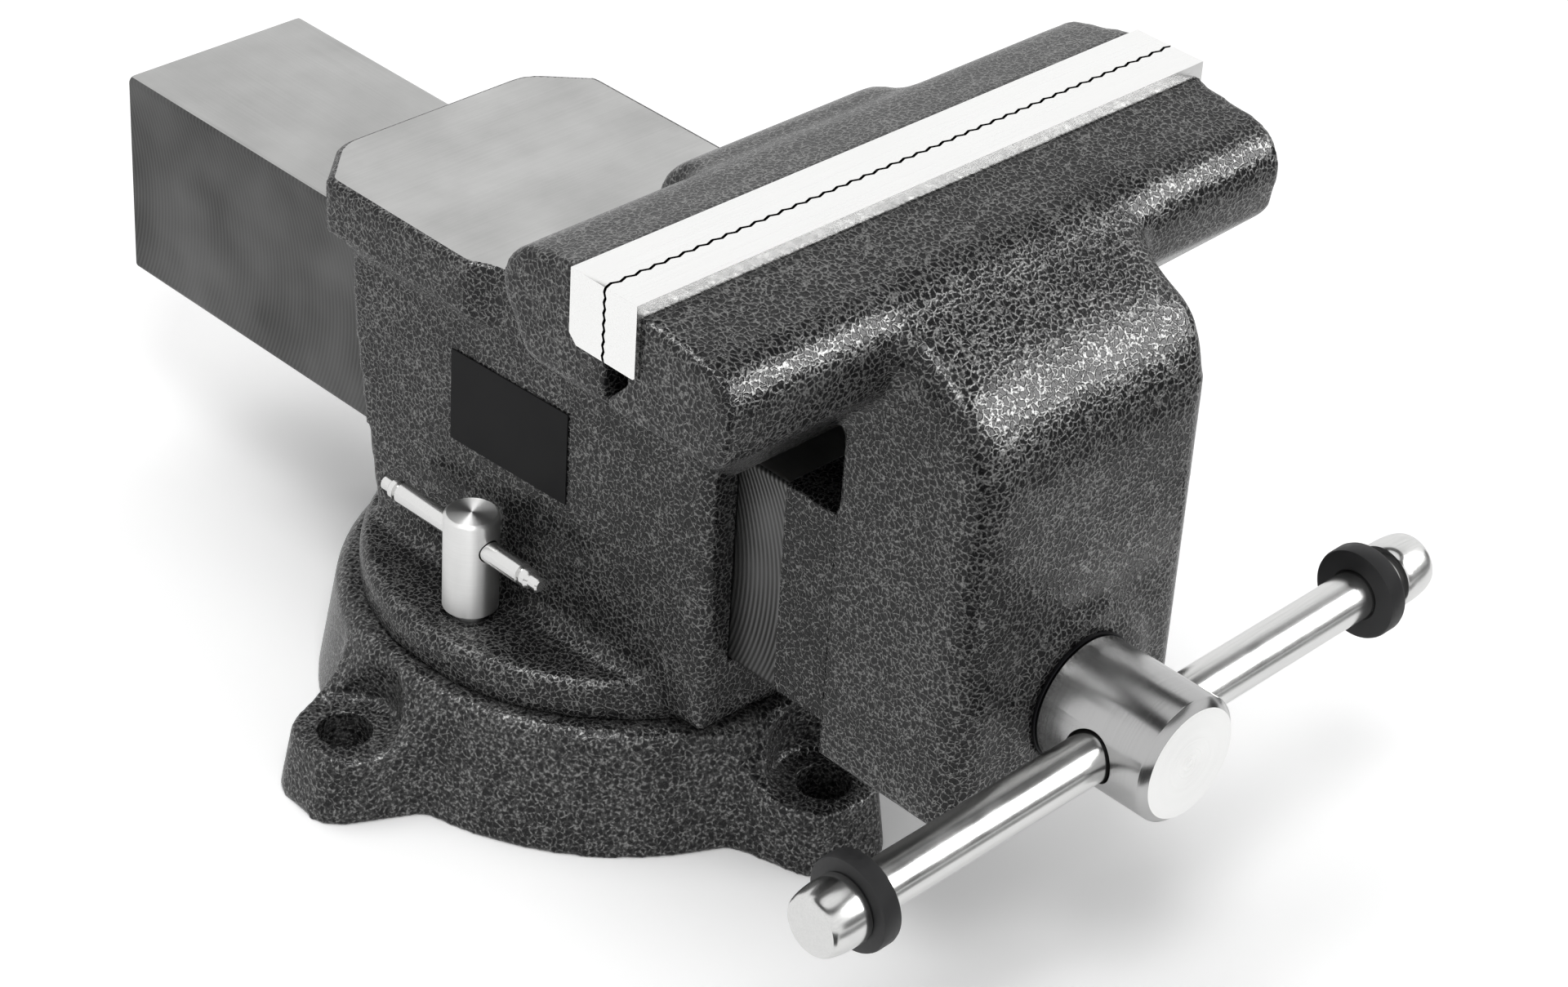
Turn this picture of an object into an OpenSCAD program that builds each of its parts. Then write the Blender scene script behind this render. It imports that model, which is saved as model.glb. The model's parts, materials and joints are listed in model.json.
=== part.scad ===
// Heavy bench vise on a swivel base: fixed jaw with anvil, sliding jaw on a
// square hollow bar, screw spindle with a loose crossbar handle.
// Origin: swivel axis at the bench surface. X runs along the jaws, Y to the
// back, Z up. The jaws are closed.

/* [Jaws] */
// Length of the jaw plates
jaw_w = 200; // [150:1:230]
// Height of the jaw plates' top edge above the slide bar
throat_h = 84; // [76:1:100]
// Distance from the swivel axis forward to the plane where the jaws meet
jaw_forward = 97; // [92:1:105]
// Thickness of a jaw plate
plate_t = 11.6; // [9:0.2:14]
// Height of a jaw plate
plate_h = 20.4; // [16:0.2:24]
// Spacing of the ridges on a gripping face
tooth_pitch = 4.65; // [3.5:0.05:7]
// Depth of the ridges on a gripping face
tooth_depth = 0.8; // [0.4:0.1:1.4]
// Depth of the fixed jaw beam from front to back
fixed_beam_depth = 38.6; // [34:0.2:44]
// Depth of the sliding jaw beam from front to back
sliding_beam_depth = 42.7; // [38:0.1:48]
// Height of a jaw beam's flat end
beam_end_h = 33; // [28:1:40]
// How far a jaw beam's end stops short of its plate's end
beam_inset = 1.5; // [0:0.5:4]
// How far the front plate stands above the sliding jaw
front_plate_rise = 4; // [2:0.5:6]
// Distance of a plate screw from the middle of the plate
plate_screw_x = 62; // [40:1:80]
// Shank diameter of a plate screw
plate_screw_d = 8; // [6:0.5:10]
// Head diameter of a plate screw
plate_screw_head_d = 13; // [11:0.5:15]
// Head height of a plate screw
plate_screw_head_h = 5; // [4:0.5:7]
// Length of a plate screw's shank
plate_screw_l = 22; // [18:1:26]

/* [Fixed jaw housing] */
// Half width of the housing at its front
housing_front_x = 41.5; // [39:0.5:48]
// Half width of the housing at its back
housing_rear_x = 47.8; // [42:0.5:49]
// Distance of the housing's front behind the meeting plane
housing_front_back = 19; // [15:1:24]
// Distance of the housing's back edge behind the swivel axis, under the anvil
housing_rear_y = 64; // [50:1:70]
// How far the housing's back leans forward at its foot
housing_rear_lean = 14; // [4:1:20]
// Radius of the housing's upright front edges
housing_edge_r = 3; // [1:0.5:6]
// Height of the housing's front lip above the bottom of the swivel flange
front_lip_rise = 5.5; // [3:0.5:8]
// Half width of the anvil
anvil_x = 49.5; // [49:0.5:58]
// Distance of the anvil's back edge behind the swivel axis
anvil_rear_y = 85; // [76:1:95]
// Distance of the anvil's front corners behind the swivel axis
anvil_front_y = 12; // [5:1:20]
// Height of the anvil's top above the slide bar
anvil_rise = 22; // [18:0.5:30]
// Thickness of the anvil's lip
anvil_lip = 17.5; // [12:0.5:17.5]
// Size of the anvil's cut back corners
anvil_corner = 14; // [8:1:20]
// Half width of the neck between the anvil and the fixed jaw
neck_x = 36; // [30:1:41]

/* [Slide bar] */
// Width of the slide bar
bar_w = 64.8; // [64.4:0.1:68]
// Height of the slide bar
bar_h = 65.5; // [60:0.5:72]
// Distance of the slide bar's back end behind the swivel axis
bar_rear_y = 186; // [175:1:200]
// Thickness of the slide bar's side walls
bar_wall = 13; // [9:0.5:13.2]
// Height of the hollow above the spindle axis
bar_hollow_rise = 20; // [19.5:0.5:24]
// Radius of the slide bar's long edges
bar_edge_r = 2; // [0.5:0.5:4]
// Gap between the slide bar and its channel
slide_gap = 0.35; // [0.3:0.05:0.6]
// Thickness of metal between the swivel flange's top and the slide bar
bar_floor_h = 14; // [12:0.5:20]

/* [Sliding jaw body] */
// Half width of the sliding jaw's body
body_x = 42.2; // [38:0.2:46]
// Distance of the body's front face ahead of the meeting plane
body_front = 73.6; // [70:0.2:80]
// Distance of the body's back face ahead of the meeting plane
body_back = 25; // [22:1:30]
// Radius of the body's upright front corners
body_corner_r = 9; // [5:0.5:12]
// Radius of the body's rounded brow
brow_r = 35.6; // [30:0.2:40]
// Thickness of the body's wall that the spindle goes through
front_wall = 30; // [24:1:32]
// Thickness of the body's floor under the spindle
body_floor = 7; // [4:0.5:8]
// Diameter of the boss around the spindle
boss_d = 50; // [44:1:54]
// Height of the boss around the spindle
boss_h = 1.7; // [1:0.1:3]

/* [Spindle] */
// Height of the spindle axis above the slide bar's underside
spindle_rise = 27; // [25:0.5:29]
// Diameter of the spindle head
head_d = 35.5; // [32:0.5:40]
// Length of the spindle head
head_l = 36; // [31:0.5:42]
// Chamfer on the spindle head
head_chamfer = 2; // [1:0.25:3]
// Diameter of the journal in the front wall
journal_d = 28; // [26.5:0.5:30]
// Outer diameter of the screw
screw_d = 26; // [22:0.5:26.4]
// Diameter of the screw's plain back end
tail_d = 18; // [14:0.5:20]
// Length of the screw's plain back end
tail_l = 12; // [10:1:14]
// Distance of the spindle's back end behind the swivel axis
spindle_rear_y = 176; // [170:1:180]
// Radial clearance of a turning fit
turn_fit = 0.08; // [0.05:0.01:0.1]
// Thickness of the washer behind the spindle head
thrust_t = 1.2; // [0.8:0.1:2]
// Diameter of the collar that pulls the sliding jaw
collar_d = 37; // [34:0.5:38.5]
// Length of the collar that pulls the sliding jaw
collar_l = 10; // [8:0.5:12]
// Diameter of the pins through the collar and the stop
pin_d = 4; // [3:0.5:5]
// Diameter of the stop washer at the spindle's back end
stop_d = 32; // [28:0.5:36]
// Thickness of the stop washer
stop_t = 4; // [3:0.5:5]

/* [Nut] */
// Length of the nut
nut_l = 26; // [22:1:30]
// Distance of the nut's middle ahead of the swivel axis
nut_forward = 49; // [46:1:50]
// Gap between the nut and the hollow of the slide bar
nut_gap = 0.8; // [0.4:0.1:1.5]
// Shank diameter of a nut bolt
nut_bolt_d = 8; // [6:0.5:9]
// Head diameter of a nut bolt
nut_bolt_head_d = 13; // [11:0.5:14]
// Head height of a nut bolt
nut_bolt_head_h = 7; // [5:0.5:8]
// Distance of a nut bolt from the middle plane
nut_bolt_x = 11; // [8:0.5:12]
// How deep a nut bolt goes into the nut
nut_bolt_grip = 11; // [8:0.5:12]

/* [Handle] */
// Length of the handle over its caps
handle_l = 224; // [190:1:240]
// How far the handle hangs to the left at rest
handle_shift = 2; // [-20:1:20]
// Diameter of the handle rod
rod_d = 13.6; // [12:0.2:14.6]
// Angle by which the right end of the handle points up at rest
handle_tilt = 1.8; // [-45:0.1:45]
// Gap around the rod in the spindle head
rod_gap = 0.35; // [0.3:0.05:0.6]
// Distance of the rod behind the spindle head's front
rod_back = 18.4; // [14:0.2:19]
// Length of a handle cap
cap_l = 12; // [10:0.5:16]
// Largest diameter of a handle cap
cap_d = 18.8; // [16:0.2:22]
// Diameter of a handle cap's flat end
cap_face_d = 15; // [10:0.5:16]
// Diameter of the threaded stub in a cap
stub_d = 8; // [6:0.5:10]
// Length of the threaded stub in a cap
stub_l = 8; // [6:0.5:9]
// Outer diameter of a rubber ring
ring_d = 25.8; // [23:0.2:30]
// Thickness of a rubber ring
ring_t = 6; // [4:0.5:8]
// How far the right ring has slipped from its cap
ring_slip = 5.5; // [0:0.5:10]

/* [Swivel] */
// Radius of the swivel flange
flange_r = 74.2; // [74:0.2:80]
// Thickness of the swivel flange
flange_t = 11.7; // [10:0.1:15]
// Radius of the rounding on the swivel flange's top edge
flange_edge_r = 3.7; // [2:0.1:6]
// Gap under the swivel flange
swivel_gap = 0.3; // [0.3:0.05:0.5]
// Radius of the round spigot that centres the flange in the base
spigot_r = 66; // [64:0.5:68]
// Thickness of the base's lip around the spigot
lip_t = 8; // [7:0.5:10]
// Radius of the clamp disc under the lip
clamp_r = 71.5; // [70:0.5:72]
// Thickness of the clamp disc
clamp_t = 8; // [6:0.5:9]
// Distance of a lock bolt from the swivel axis
lock_x = 56; // [54:0.5:57]
// Diameter of a lock bolt's head
lock_head_d = 15.8; // [13:0.2:18]
// Height of a lock bolt's head
lock_head_h = 31; // [26:0.5:36]
// Diameter of a lock bolt's shank
lock_shank_d = 10; // [8:0.5:11]
// Height of the lock bar's middle above the swivel flange
lock_bar_rise = 22; // [18:0.5:24]
// Diameter of a lock bar
lock_bar_d = 6.2; // [5:0.2:7]
// Length of a lock bar
lock_bar_l = 66; // [56:1:70]
// Length of the thinner end of a lock bar
lock_bar_tip_l = 4; // [2:0.5:6]
// Diameter of the thinner end of a lock bar
lock_bar_tip_d = 4.2; // [3:0.2:4.6]
// How far a lock bar has slid through its bolt at rest
lock_bar_shift = 4; // [0:1:10]
// Gap around a lock bar in its bolt
lock_bar_gap = 0.3; // [0.2:0.05:0.5]

/* [Base] */
// Height from the bench to the top of the base
base_h = 37.5; // [33:0.5:42]
// Diameter of the circle of base bolts
bolt_circle_d = 188; // [186:1:192]
// Diameter of a base bolt hole
base_hole_d = 15.5; // [11:0.5:17]
// Number of lugs on the base
lug_count = 4; // [3:1:4]
// Height of a lug's flat pad
lug_h = 19.7; // [13:0.1:21.5]
// Reach of a lug past the middle of its bolt hole
lug_reach = 16.5; // [14:0.5:22]
// Radius of the base's outline between the lugs
skirt_r = 86.4; // [86:0.2:90]
// How much narrower the base is at its top, as a share
base_draft = 0.07; // [0.04:0.01:0.08]
// Radius of the flat around a base bolt hole
spot_r = 15.5; // [13:0.5:15.5]
// Angle by which the base is turned under the vise
base_turn = -5; // [-45:1:45]

/* [Plate on the side] */
// Length of the bare plate
label_l = 45.5; // [30:0.5:60]
// Height of the bare plate
label_h = 28.7; // [20:0.1:32]
// Thickness of the bare plate
label_t = 0.5; // [0.3:0.1:1]
// Height of the plate's middle above the swivel flange's top
label_rise = 55.4; // [45:0.1:60]
// Distance of the plate's middle ahead of the swivel axis
label_forward = 2; // [-10:1:20]

/* [Hidden] */
$fn = 64;

// Heights that follow from the stack of parts
flange_z0 = base_h + swivel_gap;
flange_z1 = flange_z0 + flange_t;
bar_z0 = flange_z1 + bar_floor_h;
bar_z1 = bar_z0 + bar_h;
jaw_z = bar_z1 + throat_h;
anvil_z = bar_z1 + anvil_rise;
axis_z = bar_z0 + spindle_rise;
plate_z = jaw_z - plate_h;

// Places along Y
meet_y = -jaw_forward;
housing_y = meet_y + housing_front_back;
body_front_y = meet_y - body_front;
body_back_y = meet_y - body_back;
head_back_y = body_front_y - boss_h - thrust_t;
head_front_y = head_back_y - head_l;
rod_y = head_front_y + rod_back;
collar_y = body_front_y + front_wall + nut_gap;
nut_y = -nut_forward;
stop_y = spindle_rear_y - tail_l;

// Small allowances shared by several parts
seam_gap = 0.4;
tooth_gap = 0.3;
seat_gap = 0.05;
cut = 1;
beam_x = jaw_w / 2 - beam_inset;
bar_x = bar_w / 2;
hollow_x = bar_x - bar_wall;
hollow_z1 = axis_z + bar_hollow_rise;
housing_back_r = 4;
lug_end_r = bolt_circle_d / 2 + lug_reach;

// Colours
paint = [0.22, 0.22, 0.23];
ground = [0.55, 0.55, 0.56];
bright = [0.86, 0.87, 0.88];
black = [0.08, 0.08, 0.08];

// Half width of the housing at the place y, and the angle of its side faces
face_y0 = housing_y + housing_edge_r;
face_slope = (housing_rear_x - housing_front_x) / (housing_rear_y - housing_back_r - face_y0);
face_angle = atan(face_slope);
function face_x(y) = housing_front_x + (y - face_y0) * face_slope;

// Points of an arc from angle a0 to a1
function arc(c, r, a0, a1, n) =
    [for (i = [0 : n]) let (a = a0 + (a1 - a0) * i / n) [c[0] + r * cos(a), c[1] + r * sin(a)]];

// A side-view outline in Y and Z, stretched along X over the half width x
module across(x) {
    rotate([90, 0, 90]) translate([0, 0, -x]) linear_extrude(2 * x) children();
}

// A front-view outline in X and Z, stretched along Y from y0 to y1
module along(y0, y1) {
    translate([0, y1, 0]) rotate([90, 0, 0]) linear_extrude(y1 - y0) children();
}

// A cylinder lying along Y from y0 to y1 on the spindle axis
module shaft(d, y0, y1) {
    translate([0, y0, axis_z]) rotate([-90, 0, 0]) cylinder(d = d, h = y1 - y0);
}

// A rectangle with rounded corners, centred on its own middle
module rounded(w, h, r) {
    polygon(concat(
        arc([w / 2 - r, h / 2 - r], r, 0, 90, 6), arc([r - w / 2, h / 2 - r], r, 90, 180, 6),
        arc([r - w / 2, r - h / 2], r, 180, 270, 6), arc([w / 2 - r, r - h / 2], r, 270, 360, 6)));
}

// Front-view outline of a jaw beam, with its slanted undersides
beam_slope = 0.888;
beam_end_z = jaw_z - beam_end_h;
web_x = 43;
module beam_front(under_x, under_z) {
    polygon([
        [-under_x, under_z], [under_x, under_z],
        [under_x, beam_end_z - (beam_x - under_x) * beam_slope], [beam_x, beam_end_z],
        [beam_x, jaw_z + cut], [-beam_x, jaw_z + cut], [-beam_x, beam_end_z],
        [-under_x, beam_end_z - (beam_x - under_x) * beam_slope]
    ]);
}

// Height of the throat between the beams' undersides and the slide bar
throat_under = 12;

// Fixed jaw beam seen from the side: seat in front, rounded back, heel below
fixed_back_r = 12.3;
fixed_back_drop = 15.5;
heel_back = 6;
heel_drop = 42;
module fixed_beam_side() {
    y0 = meet_y + seam_gap;
    seat_y = meet_y + plate_t + seat_gap;
    heel_y = housing_y + heel_back;
    c = [meet_y + fixed_beam_depth - fixed_back_r, jaw_z - fixed_back_drop];
    polygon(concat(
        [[housing_y, bar_z1 + cut], [y0, bar_z1 + throat_under]],
        [[y0, plate_z - seat_gap], [seat_y, plate_z - seat_gap], [seat_y, jaw_z]],
        arc(c, fixed_back_r, 80, -45, 12),
        [[heel_y, jaw_z - heel_drop], [heel_y, bar_z1 + cut]]));
}

// Sliding jaw beam seen from the side: seat behind, bullet shaped front
sliding_front_r = 12.7;
sliding_front_drop = 19;
sliding_foot_r = 4.6;
sliding_foot_back = 6;
relief_back = 7;
relief_low = 10.8;
relief_high = 4.4;
module sliding_beam_side() {
    y0 = meet_y - seam_gap;
    front = meet_y - sliding_beam_depth;
    seat_y = meet_y - plate_t - seat_gap;
    c = [front + sliding_front_r, jaw_z - sliding_front_drop];
    foot = [front + sliding_foot_back, beam_end_z + sliding_foot_r];
    polygon(concat(
        [[y0, bar_z1 + throat_under], [y0, plate_z - relief_low]],
        [[meet_y - relief_back, plate_z - relief_high], [meet_y - relief_back, plate_z - seat_gap]],
        [[seat_y, plate_z - seat_gap], [seat_y, jaw_z - front_plate_rise]],
        arc(c, sliding_front_r, 88, 186, 10),
        arc(foot, sliding_foot_r, 195, 228, 4)));
}

// Gripping face of a plate: a zigzag line along X, shifted by dy
function teeth(dy) = let (n = round(jaw_w / tooth_pitch), p = jaw_w / n)
    [for (i = [0 : 2 * n]) [-jaw_w / 2 + i * p / 2, dy + (i % 2 == 0 ? -1 : 1) * tooth_depth / 2]];

// One jaw plate; side is 1 for the rear plate and -1 for the front one
module plate(side) {
    line = teeth(meet_y + side * tooth_gap / 2);
    back = meet_y + side * plate_t;
    difference() {
        translate([0, 0, plate_z]) linear_extrude(plate_h)
            polygon(concat(line, [[jaw_w / 2, back], [-jaw_w / 2, back]]));
        plate_screw_holes(side);
    }
}

plate_mid_z = plate_z + plate_h / 2;
head_sink = 1.5;
head_gap = 0.2;
tip_gap = 0.5;
socket_h = 3;

// Places its children at the two plate screws, with Z pointing into the casting
module at_plate_screws(side) {
    for (s = [-1, 1])
        translate([s * plate_screw_x, meet_y + side * head_sink, plate_mid_z])
            rotate([-side * 90, 0, 0]) children();
}

module plate_screw_holes(side) {
    at_plate_screws(side) {
        translate([0, 0, -head_sink - cut])
            cylinder(d = plate_screw_head_d + 2 * head_gap, h = head_sink + cut + plate_screw_head_h);
        cylinder(d = plate_screw_d + 2 * seat_gap, h = plate_screw_head_h + plate_screw_l);
    }
}

module plate_screws(side) {
    color(ground) at_plate_screws(side) difference() {
        union() {
            cylinder(d = plate_screw_head_d, h = plate_screw_head_h);
            cylinder(d = plate_screw_d, h = plate_screw_head_h + plate_screw_l - tip_gap);
        }
        translate([0, 0, -cut]) cylinder(d = plate_screw_head_d / 2, h = cut + socket_h, $fn = 6);
    }
}

// Outline of the base seen from above: a round skirt with lugs
lug_flat = 4;
lug_blend = 13;
function lug_share(a) = a < lug_flat ? 1 : (a > lug_flat + lug_blend ? 0
    : (1 + cos(180 * (a - lug_flat) / lug_blend)) / 2);
function from_lug(a) = let (span = 360 / lug_count, m = a % span) min(m, span - m);
module base_outline() {
    polygon([for (i = [0 : 179]) let (a = 2 * i,
        r = skirt_r + (lug_end_r - skirt_r) * lug_share(from_lug(a))) [r * cos(a), r * sin(a)]]);
}

// Half section of the base: lip, hollow and the hollowed slope of the lugs
cavity_wall = 7.4;
slope_r = 19.5;
rim_w = 2.5;
module base_section() {
    lip_z = base_h - lip_t;
    top_r = skirt_r * (1 - base_draft);
    cavity_r = top_r - cavity_wall;
    polygon(concat(
        [[spigot_r + turn_fit, lip_z], [spigot_r + turn_fit, base_h], [top_r - rim_w, base_h]],
        arc([top_r + slope_r, lug_h + slope_r], slope_r, 193, 270, 10),
        [[lug_end_r + cut, lug_h], [lug_end_r + cut, 0], [cavity_r, 0], [cavity_r, lip_z]]));
}

module base() {
    color(paint) rotate([0, 0, base_turn]) difference() {
        intersection() {
            rotate_extrude($fn = 128) base_section();
            linear_extrude(base_h, scale = 1 - base_draft) base_outline();
        }
        for (i = [0 : lug_count - 1]) rotate([0, 0, i * 360 / lug_count])
            translate([bolt_circle_d / 2, 0, 0]) {
                translate([0, 0, -cut]) cylinder(d = base_hole_d, h = base_h + 2 * cut);
                translate([0, 0, lug_h]) cylinder(r = spot_r, h = base_h);
            }
    }
}

clamp_z1 = base_h - lip_t - swivel_gap;
module clamp_disc() {
    color(ground) difference() {
        translate([0, 0, clamp_z1 - clamp_t]) cylinder(r = clamp_r, h = clamp_t, $fn = 96);
        for (s = [-1, 1]) translate([s * lock_x, 0, clamp_z1 - clamp_t - cut])
            cylinder(d = lock_shank_d + 2 * turn_fit, h = clamp_t + 2 * cut);
    }
}

// Plan of the housing: it widens toward the back, with soft upright edges
module housing_plan() {
    r = housing_edge_r;
    q = housing_back_r;
    fx = housing_front_x;
    bx = housing_rear_x;
    polygon(concat(
        arc([r - fx, housing_y + r], r, 180, 270, 6), arc([fx - r, housing_y + r], r, 270, 360, 6),
        arc([bx - q, housing_rear_y - q], q, 0, 90, 6), arc([q - bx, housing_rear_y - q], q, 90, 180, 6)));
}

// Side of the housing: leaning back, front lip clear of the base
module housing_side() {
    lip_z = flange_z0 + front_lip_rise;
    lip_y = -jaw_forward / 2;
    foot_z = flange_z0 + cut;
    top_z = anvil_z - anvil_lip + cut;
    polygon([
        [housing_y - cut, lip_z], [lip_y, lip_z], [lip_y, foot_z],
        [housing_rear_y - housing_rear_lean, foot_z], [housing_rear_y + cut, top_z],
        [housing_y - cut, top_z]
    ]);
}

// Top of the anvil: cut back rear corners, front corners drawn in to the housing
corner_ease = 5;
corner_step = 1.5;
shoulder_l = 8;
module anvil_plan() {
    x = anvil_x;
    rx = x - anvil_corner;
    y0 = anvil_front_y - shoulder_l;
    fx = face_x(y0);
    polygon([
        [x, anvil_rear_y - anvil_corner], [rx, anvil_rear_y - corner_step],
        [rx - corner_ease, anvil_rear_y], [corner_ease - rx, anvil_rear_y],
        [-rx, anvil_rear_y - corner_step], [-x, anvil_rear_y - anvil_corner],
        [-x, anvil_front_y], [-fx, y0], [-housing_front_x, housing_y],
        [housing_front_x, housing_y], [fx, y0], [x, anvil_front_y]
    ]);
}

// Side of the neck: from the fixed jaw's top down to the anvil
neck_drop = 6;
neck_r = 18;
neck_fillet = 14;
neck_back = 4;
module neck_side() {
    y0 = meet_y + fixed_beam_depth - neck_back;
    y1 = y0 + neck_r + neck_fillet;
    low_z = anvil_z - anvil_lip;
    polygon(concat(
        [[housing_y, low_z], [housing_y, jaw_z - neck_drop]],
        arc([y0, jaw_z - neck_drop - neck_r], neck_r, 80, 4, 10),
        arc([y1, anvil_z + neck_fillet], neck_fillet, 180, 270, 6),
        [[y1, low_z]]));
}

spigot_short = 1;
module swivel_flange() {
    r = flange_edge_r;
    rotate_extrude($fn = 128) polygon(concat(
        [[0, flange_z0], [flange_r, flange_z0]],
        arc([flange_r - r, flange_z1 - r], r, 0, 90, 6), [[0, flange_z1]]));
    spigot_z = base_h - lip_t + spigot_short;
    translate([0, 0, spigot_z]) cylinder(r = spigot_r, h = flange_z0 - spigot_z + cut, $fn = 128);
}

// Channel that the slide bar runs in
module bar_channel() {
    w = bar_w + 2 * slide_gap;
    translate([-w / 2, housing_y - cut, bar_z0 - slide_gap])
        cube([w, anvil_rear_y - housing_y + 2 * cut, bar_h + 2 * slide_gap]);
}

nut_bolt_sink = 2;
nut_bolt_head_gap = 0.5;
module nut_bolt_holes() {
    z0 = base_h - lip_t;
    for (s = [-1, 1]) translate([s * nut_bolt_x, nut_y, z0]) {
        cylinder(d = nut_bolt_d + 2 * seat_gap, h = bar_z0 - z0);
        cylinder(d = nut_bolt_head_d + 2 * nut_bolt_head_gap, h = nut_bolt_sink + nut_bolt_head_h);
    }
}

lock_hole_gap = 0.5;
module fixed_jaw() {
    color(paint) difference() {
        union() {
            swivel_flange();
            intersection() {
                linear_extrude(anvil_z) housing_plan();
                across(anvil_x) housing_side();
            }
            translate([0, 0, anvil_z - anvil_lip]) linear_extrude(anvil_lip) anvil_plan();
            intersection() {
                across(beam_x) fixed_beam_side();
                along(meet_y, 0) beam_front(web_x, bar_z1 - cut);
            }
            across(neck_x) neck_side();
        }
        bar_channel();
        nut_bolt_holes();
        plate_screw_holes(1);
        for (s = [-1, 1]) translate([s * lock_x, 0, base_h - lip_t])
            cylinder(d = lock_shank_d + 2 * lock_hole_gap, h = flange_z1);
    }
}

module rear_plate() {
    color(bright) plate(1);
}

module rear_plate_screws() {
    plate_screws(1);
}

// Nut on the floor of the channel, inside the slide bar's hollow
nut_x = hollow_x - nut_gap;
nut_z1 = hollow_z1 - nut_gap;
module nut() {
    foot_z = bar_z0 - slide_gap;
    color(ground) difference() {
        translate([-nut_x, nut_y - nut_l / 2, foot_z]) cube([2 * nut_x, nut_l, nut_z1 - foot_z]);
        shaft(screw_d + 2 * turn_fit, nut_y - nut_l, nut_y + nut_l);
        for (s = [-1, 1]) translate([s * nut_bolt_x, nut_y, foot_z - cut])
            cylinder(d = nut_bolt_d + 2 * seat_gap, h = nut_bolt_grip + cut);
    }
}

module nut_bolts() {
    z0 = base_h - lip_t + nut_bolt_sink;
    color(ground) for (s = [-1, 1]) translate([s * nut_bolt_x, nut_y, z0]) difference() {
        union() {
            cylinder(d = nut_bolt_head_d, h = nut_bolt_head_h);
            cylinder(d = nut_bolt_d, h = bar_z0 - slide_gap - z0 + nut_bolt_grip - tip_gap);
        }
        translate([0, 0, -cut]) cylinder(d = nut_bolt_head_d / 2, h = cut + socket_h, $fn = 6);
    }
}

// Bare plate stuck on the left face of the housing
module side_plate() {
    y = -label_forward;
    color(black) translate([-face_x(y), y, flange_z1 + label_rise]) rotate([0, 0, face_angle])
        translate([-label_t, -label_l / 2, -label_h / 2]) cube([label_t, label_l, label_h]);
}

// One lock bolt with its cross hole; side is -1 for the left one
lock_head_gap = 0.3;
lock_tip = 2;
lock_ease_h = 1.2;
lock_ease = 0.8;
module lock_bolt(side) {
    z0 = flange_z1 + lock_head_gap;
    top_h = lock_head_h - lock_head_gap;
    shank_z0 = clamp_z1 - clamp_t - lock_tip;
    color(bright) difference() {
        translate([side * lock_x, 0, 0]) union() {
            translate([0, 0, z0]) cylinder(d = lock_head_d, h = top_h - lock_ease_h);
            translate([0, 0, z0]) cylinder(d = lock_head_d - 2 * lock_ease, h = top_h);
            translate([0, 0, shank_z0]) cylinder(d = lock_shank_d, h = z0 - shank_z0 + cut);
        }
        at_lock_bar(side) cylinder(d = lock_bar_d + 2 * lock_bar_gap, h = 2 * lock_head_d, center = true);
    }
}

// Puts its children on a lock bar's axis, lying along Y
module at_lock_bar(side) {
    translate([side * lock_x, 0, flange_z1 + lock_bar_rise]) rotate([90, 0, 0]) children();
}

module lock_bar(side) {
    body_l = lock_bar_l - 2 * lock_bar_tip_l;
    color(bright) translate([0, -side * lock_bar_shift, 0]) at_lock_bar(side) {
        cylinder(d = lock_bar_d, h = body_l, center = true);
        cylinder(d = lock_bar_tip_d, h = lock_bar_l, center = true);
    }
}

module lock_bolt_left() {
    lock_bolt(-1);
}

module lock_bolt_right() {
    lock_bolt(1);
}

module lock_bar_left() {
    lock_bar(-1);
}

module lock_bar_right() {
    lock_bar(1);
}

// Plan of the sliding jaw's body, with rounded front corners
module body_plan() {
    r = body_corner_r;
    polygon(concat(
        arc([r - body_x, body_front_y + r], r, 180, 270, 8),
        arc([body_x - r, body_front_y + r], r, 270, 360, 8),
        [[body_x, body_back_y], [-body_x, body_back_y]]));
}

// Side of the sliding jaw's body: rounded brow, flat front, eased foot
brow_drop = 52;
foot_r = 3;
foot_drop = 0.8;
web_low = 40;
web_high = 30;
web_top = 8;
web_back = 16;
tuck_back = 1;
tuck_drop = 12.5;
module body_side() {
    web_y = meet_y - web_back;
    foot_z = bar_z0 - foot_drop;
    polygon(concat(
        [[body_back_y, foot_z], [body_back_y, jaw_z - web_low], [web_y, jaw_z - web_high]],
        [[web_y, jaw_z - web_top], [meet_y - sliding_beam_depth + tuck_back, jaw_z - tuck_drop]],
        arc([body_front_y + brow_r, jaw_z - brow_drop], brow_r, 120, 180, 10),
        arc([body_front_y + foot_r, foot_z + foot_r], foot_r, 180, 270, 4)));
}

// Painted root of the slide bar, cast on the sliding jaw
root_short = 1.6;
root_edge_r = 4;
root_y = meet_y + root_short;
module bar_root() {
    along(body_back_y - cut, root_y) translate([0, (bar_z0 + bar_z1) / 2])
        rounded(bar_w, bar_h, root_edge_r);
}

// Hollow of the sliding jaw, with a round pocket for the collar
collar_gap = 0.6;
module spindle_cavity() {
    translate([-hollow_x, body_front_y + front_wall, bar_z0 + body_floor])
        cube([2 * hollow_x, root_y - body_front_y, hollow_z1 - bar_z0 - body_floor]);
    shaft(collar_d + 2 * collar_gap, body_front_y + front_wall, collar_y + collar_l + collar_gap);
}

module sliding_jaw() {
    color(paint) difference() {
        union() {
            intersection() {
                across(beam_x) sliding_beam_side();
                along(-2 * jaw_forward, meet_y) beam_front(web_x, bar_z1 + throat_under);
            }
            intersection() {
                linear_extrude(jaw_z) body_plan_long();
                across(body_x) body_side();
            }
            bar_root();
            shaft(boss_d, body_front_y - boss_h, body_front_y + cut);
        }
        spindle_cavity();
        shaft(journal_d + 2 * turn_fit, head_back_y, body_front_y + front_wall + cut);
        plate_screw_holes(-1);
    }
}

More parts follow.
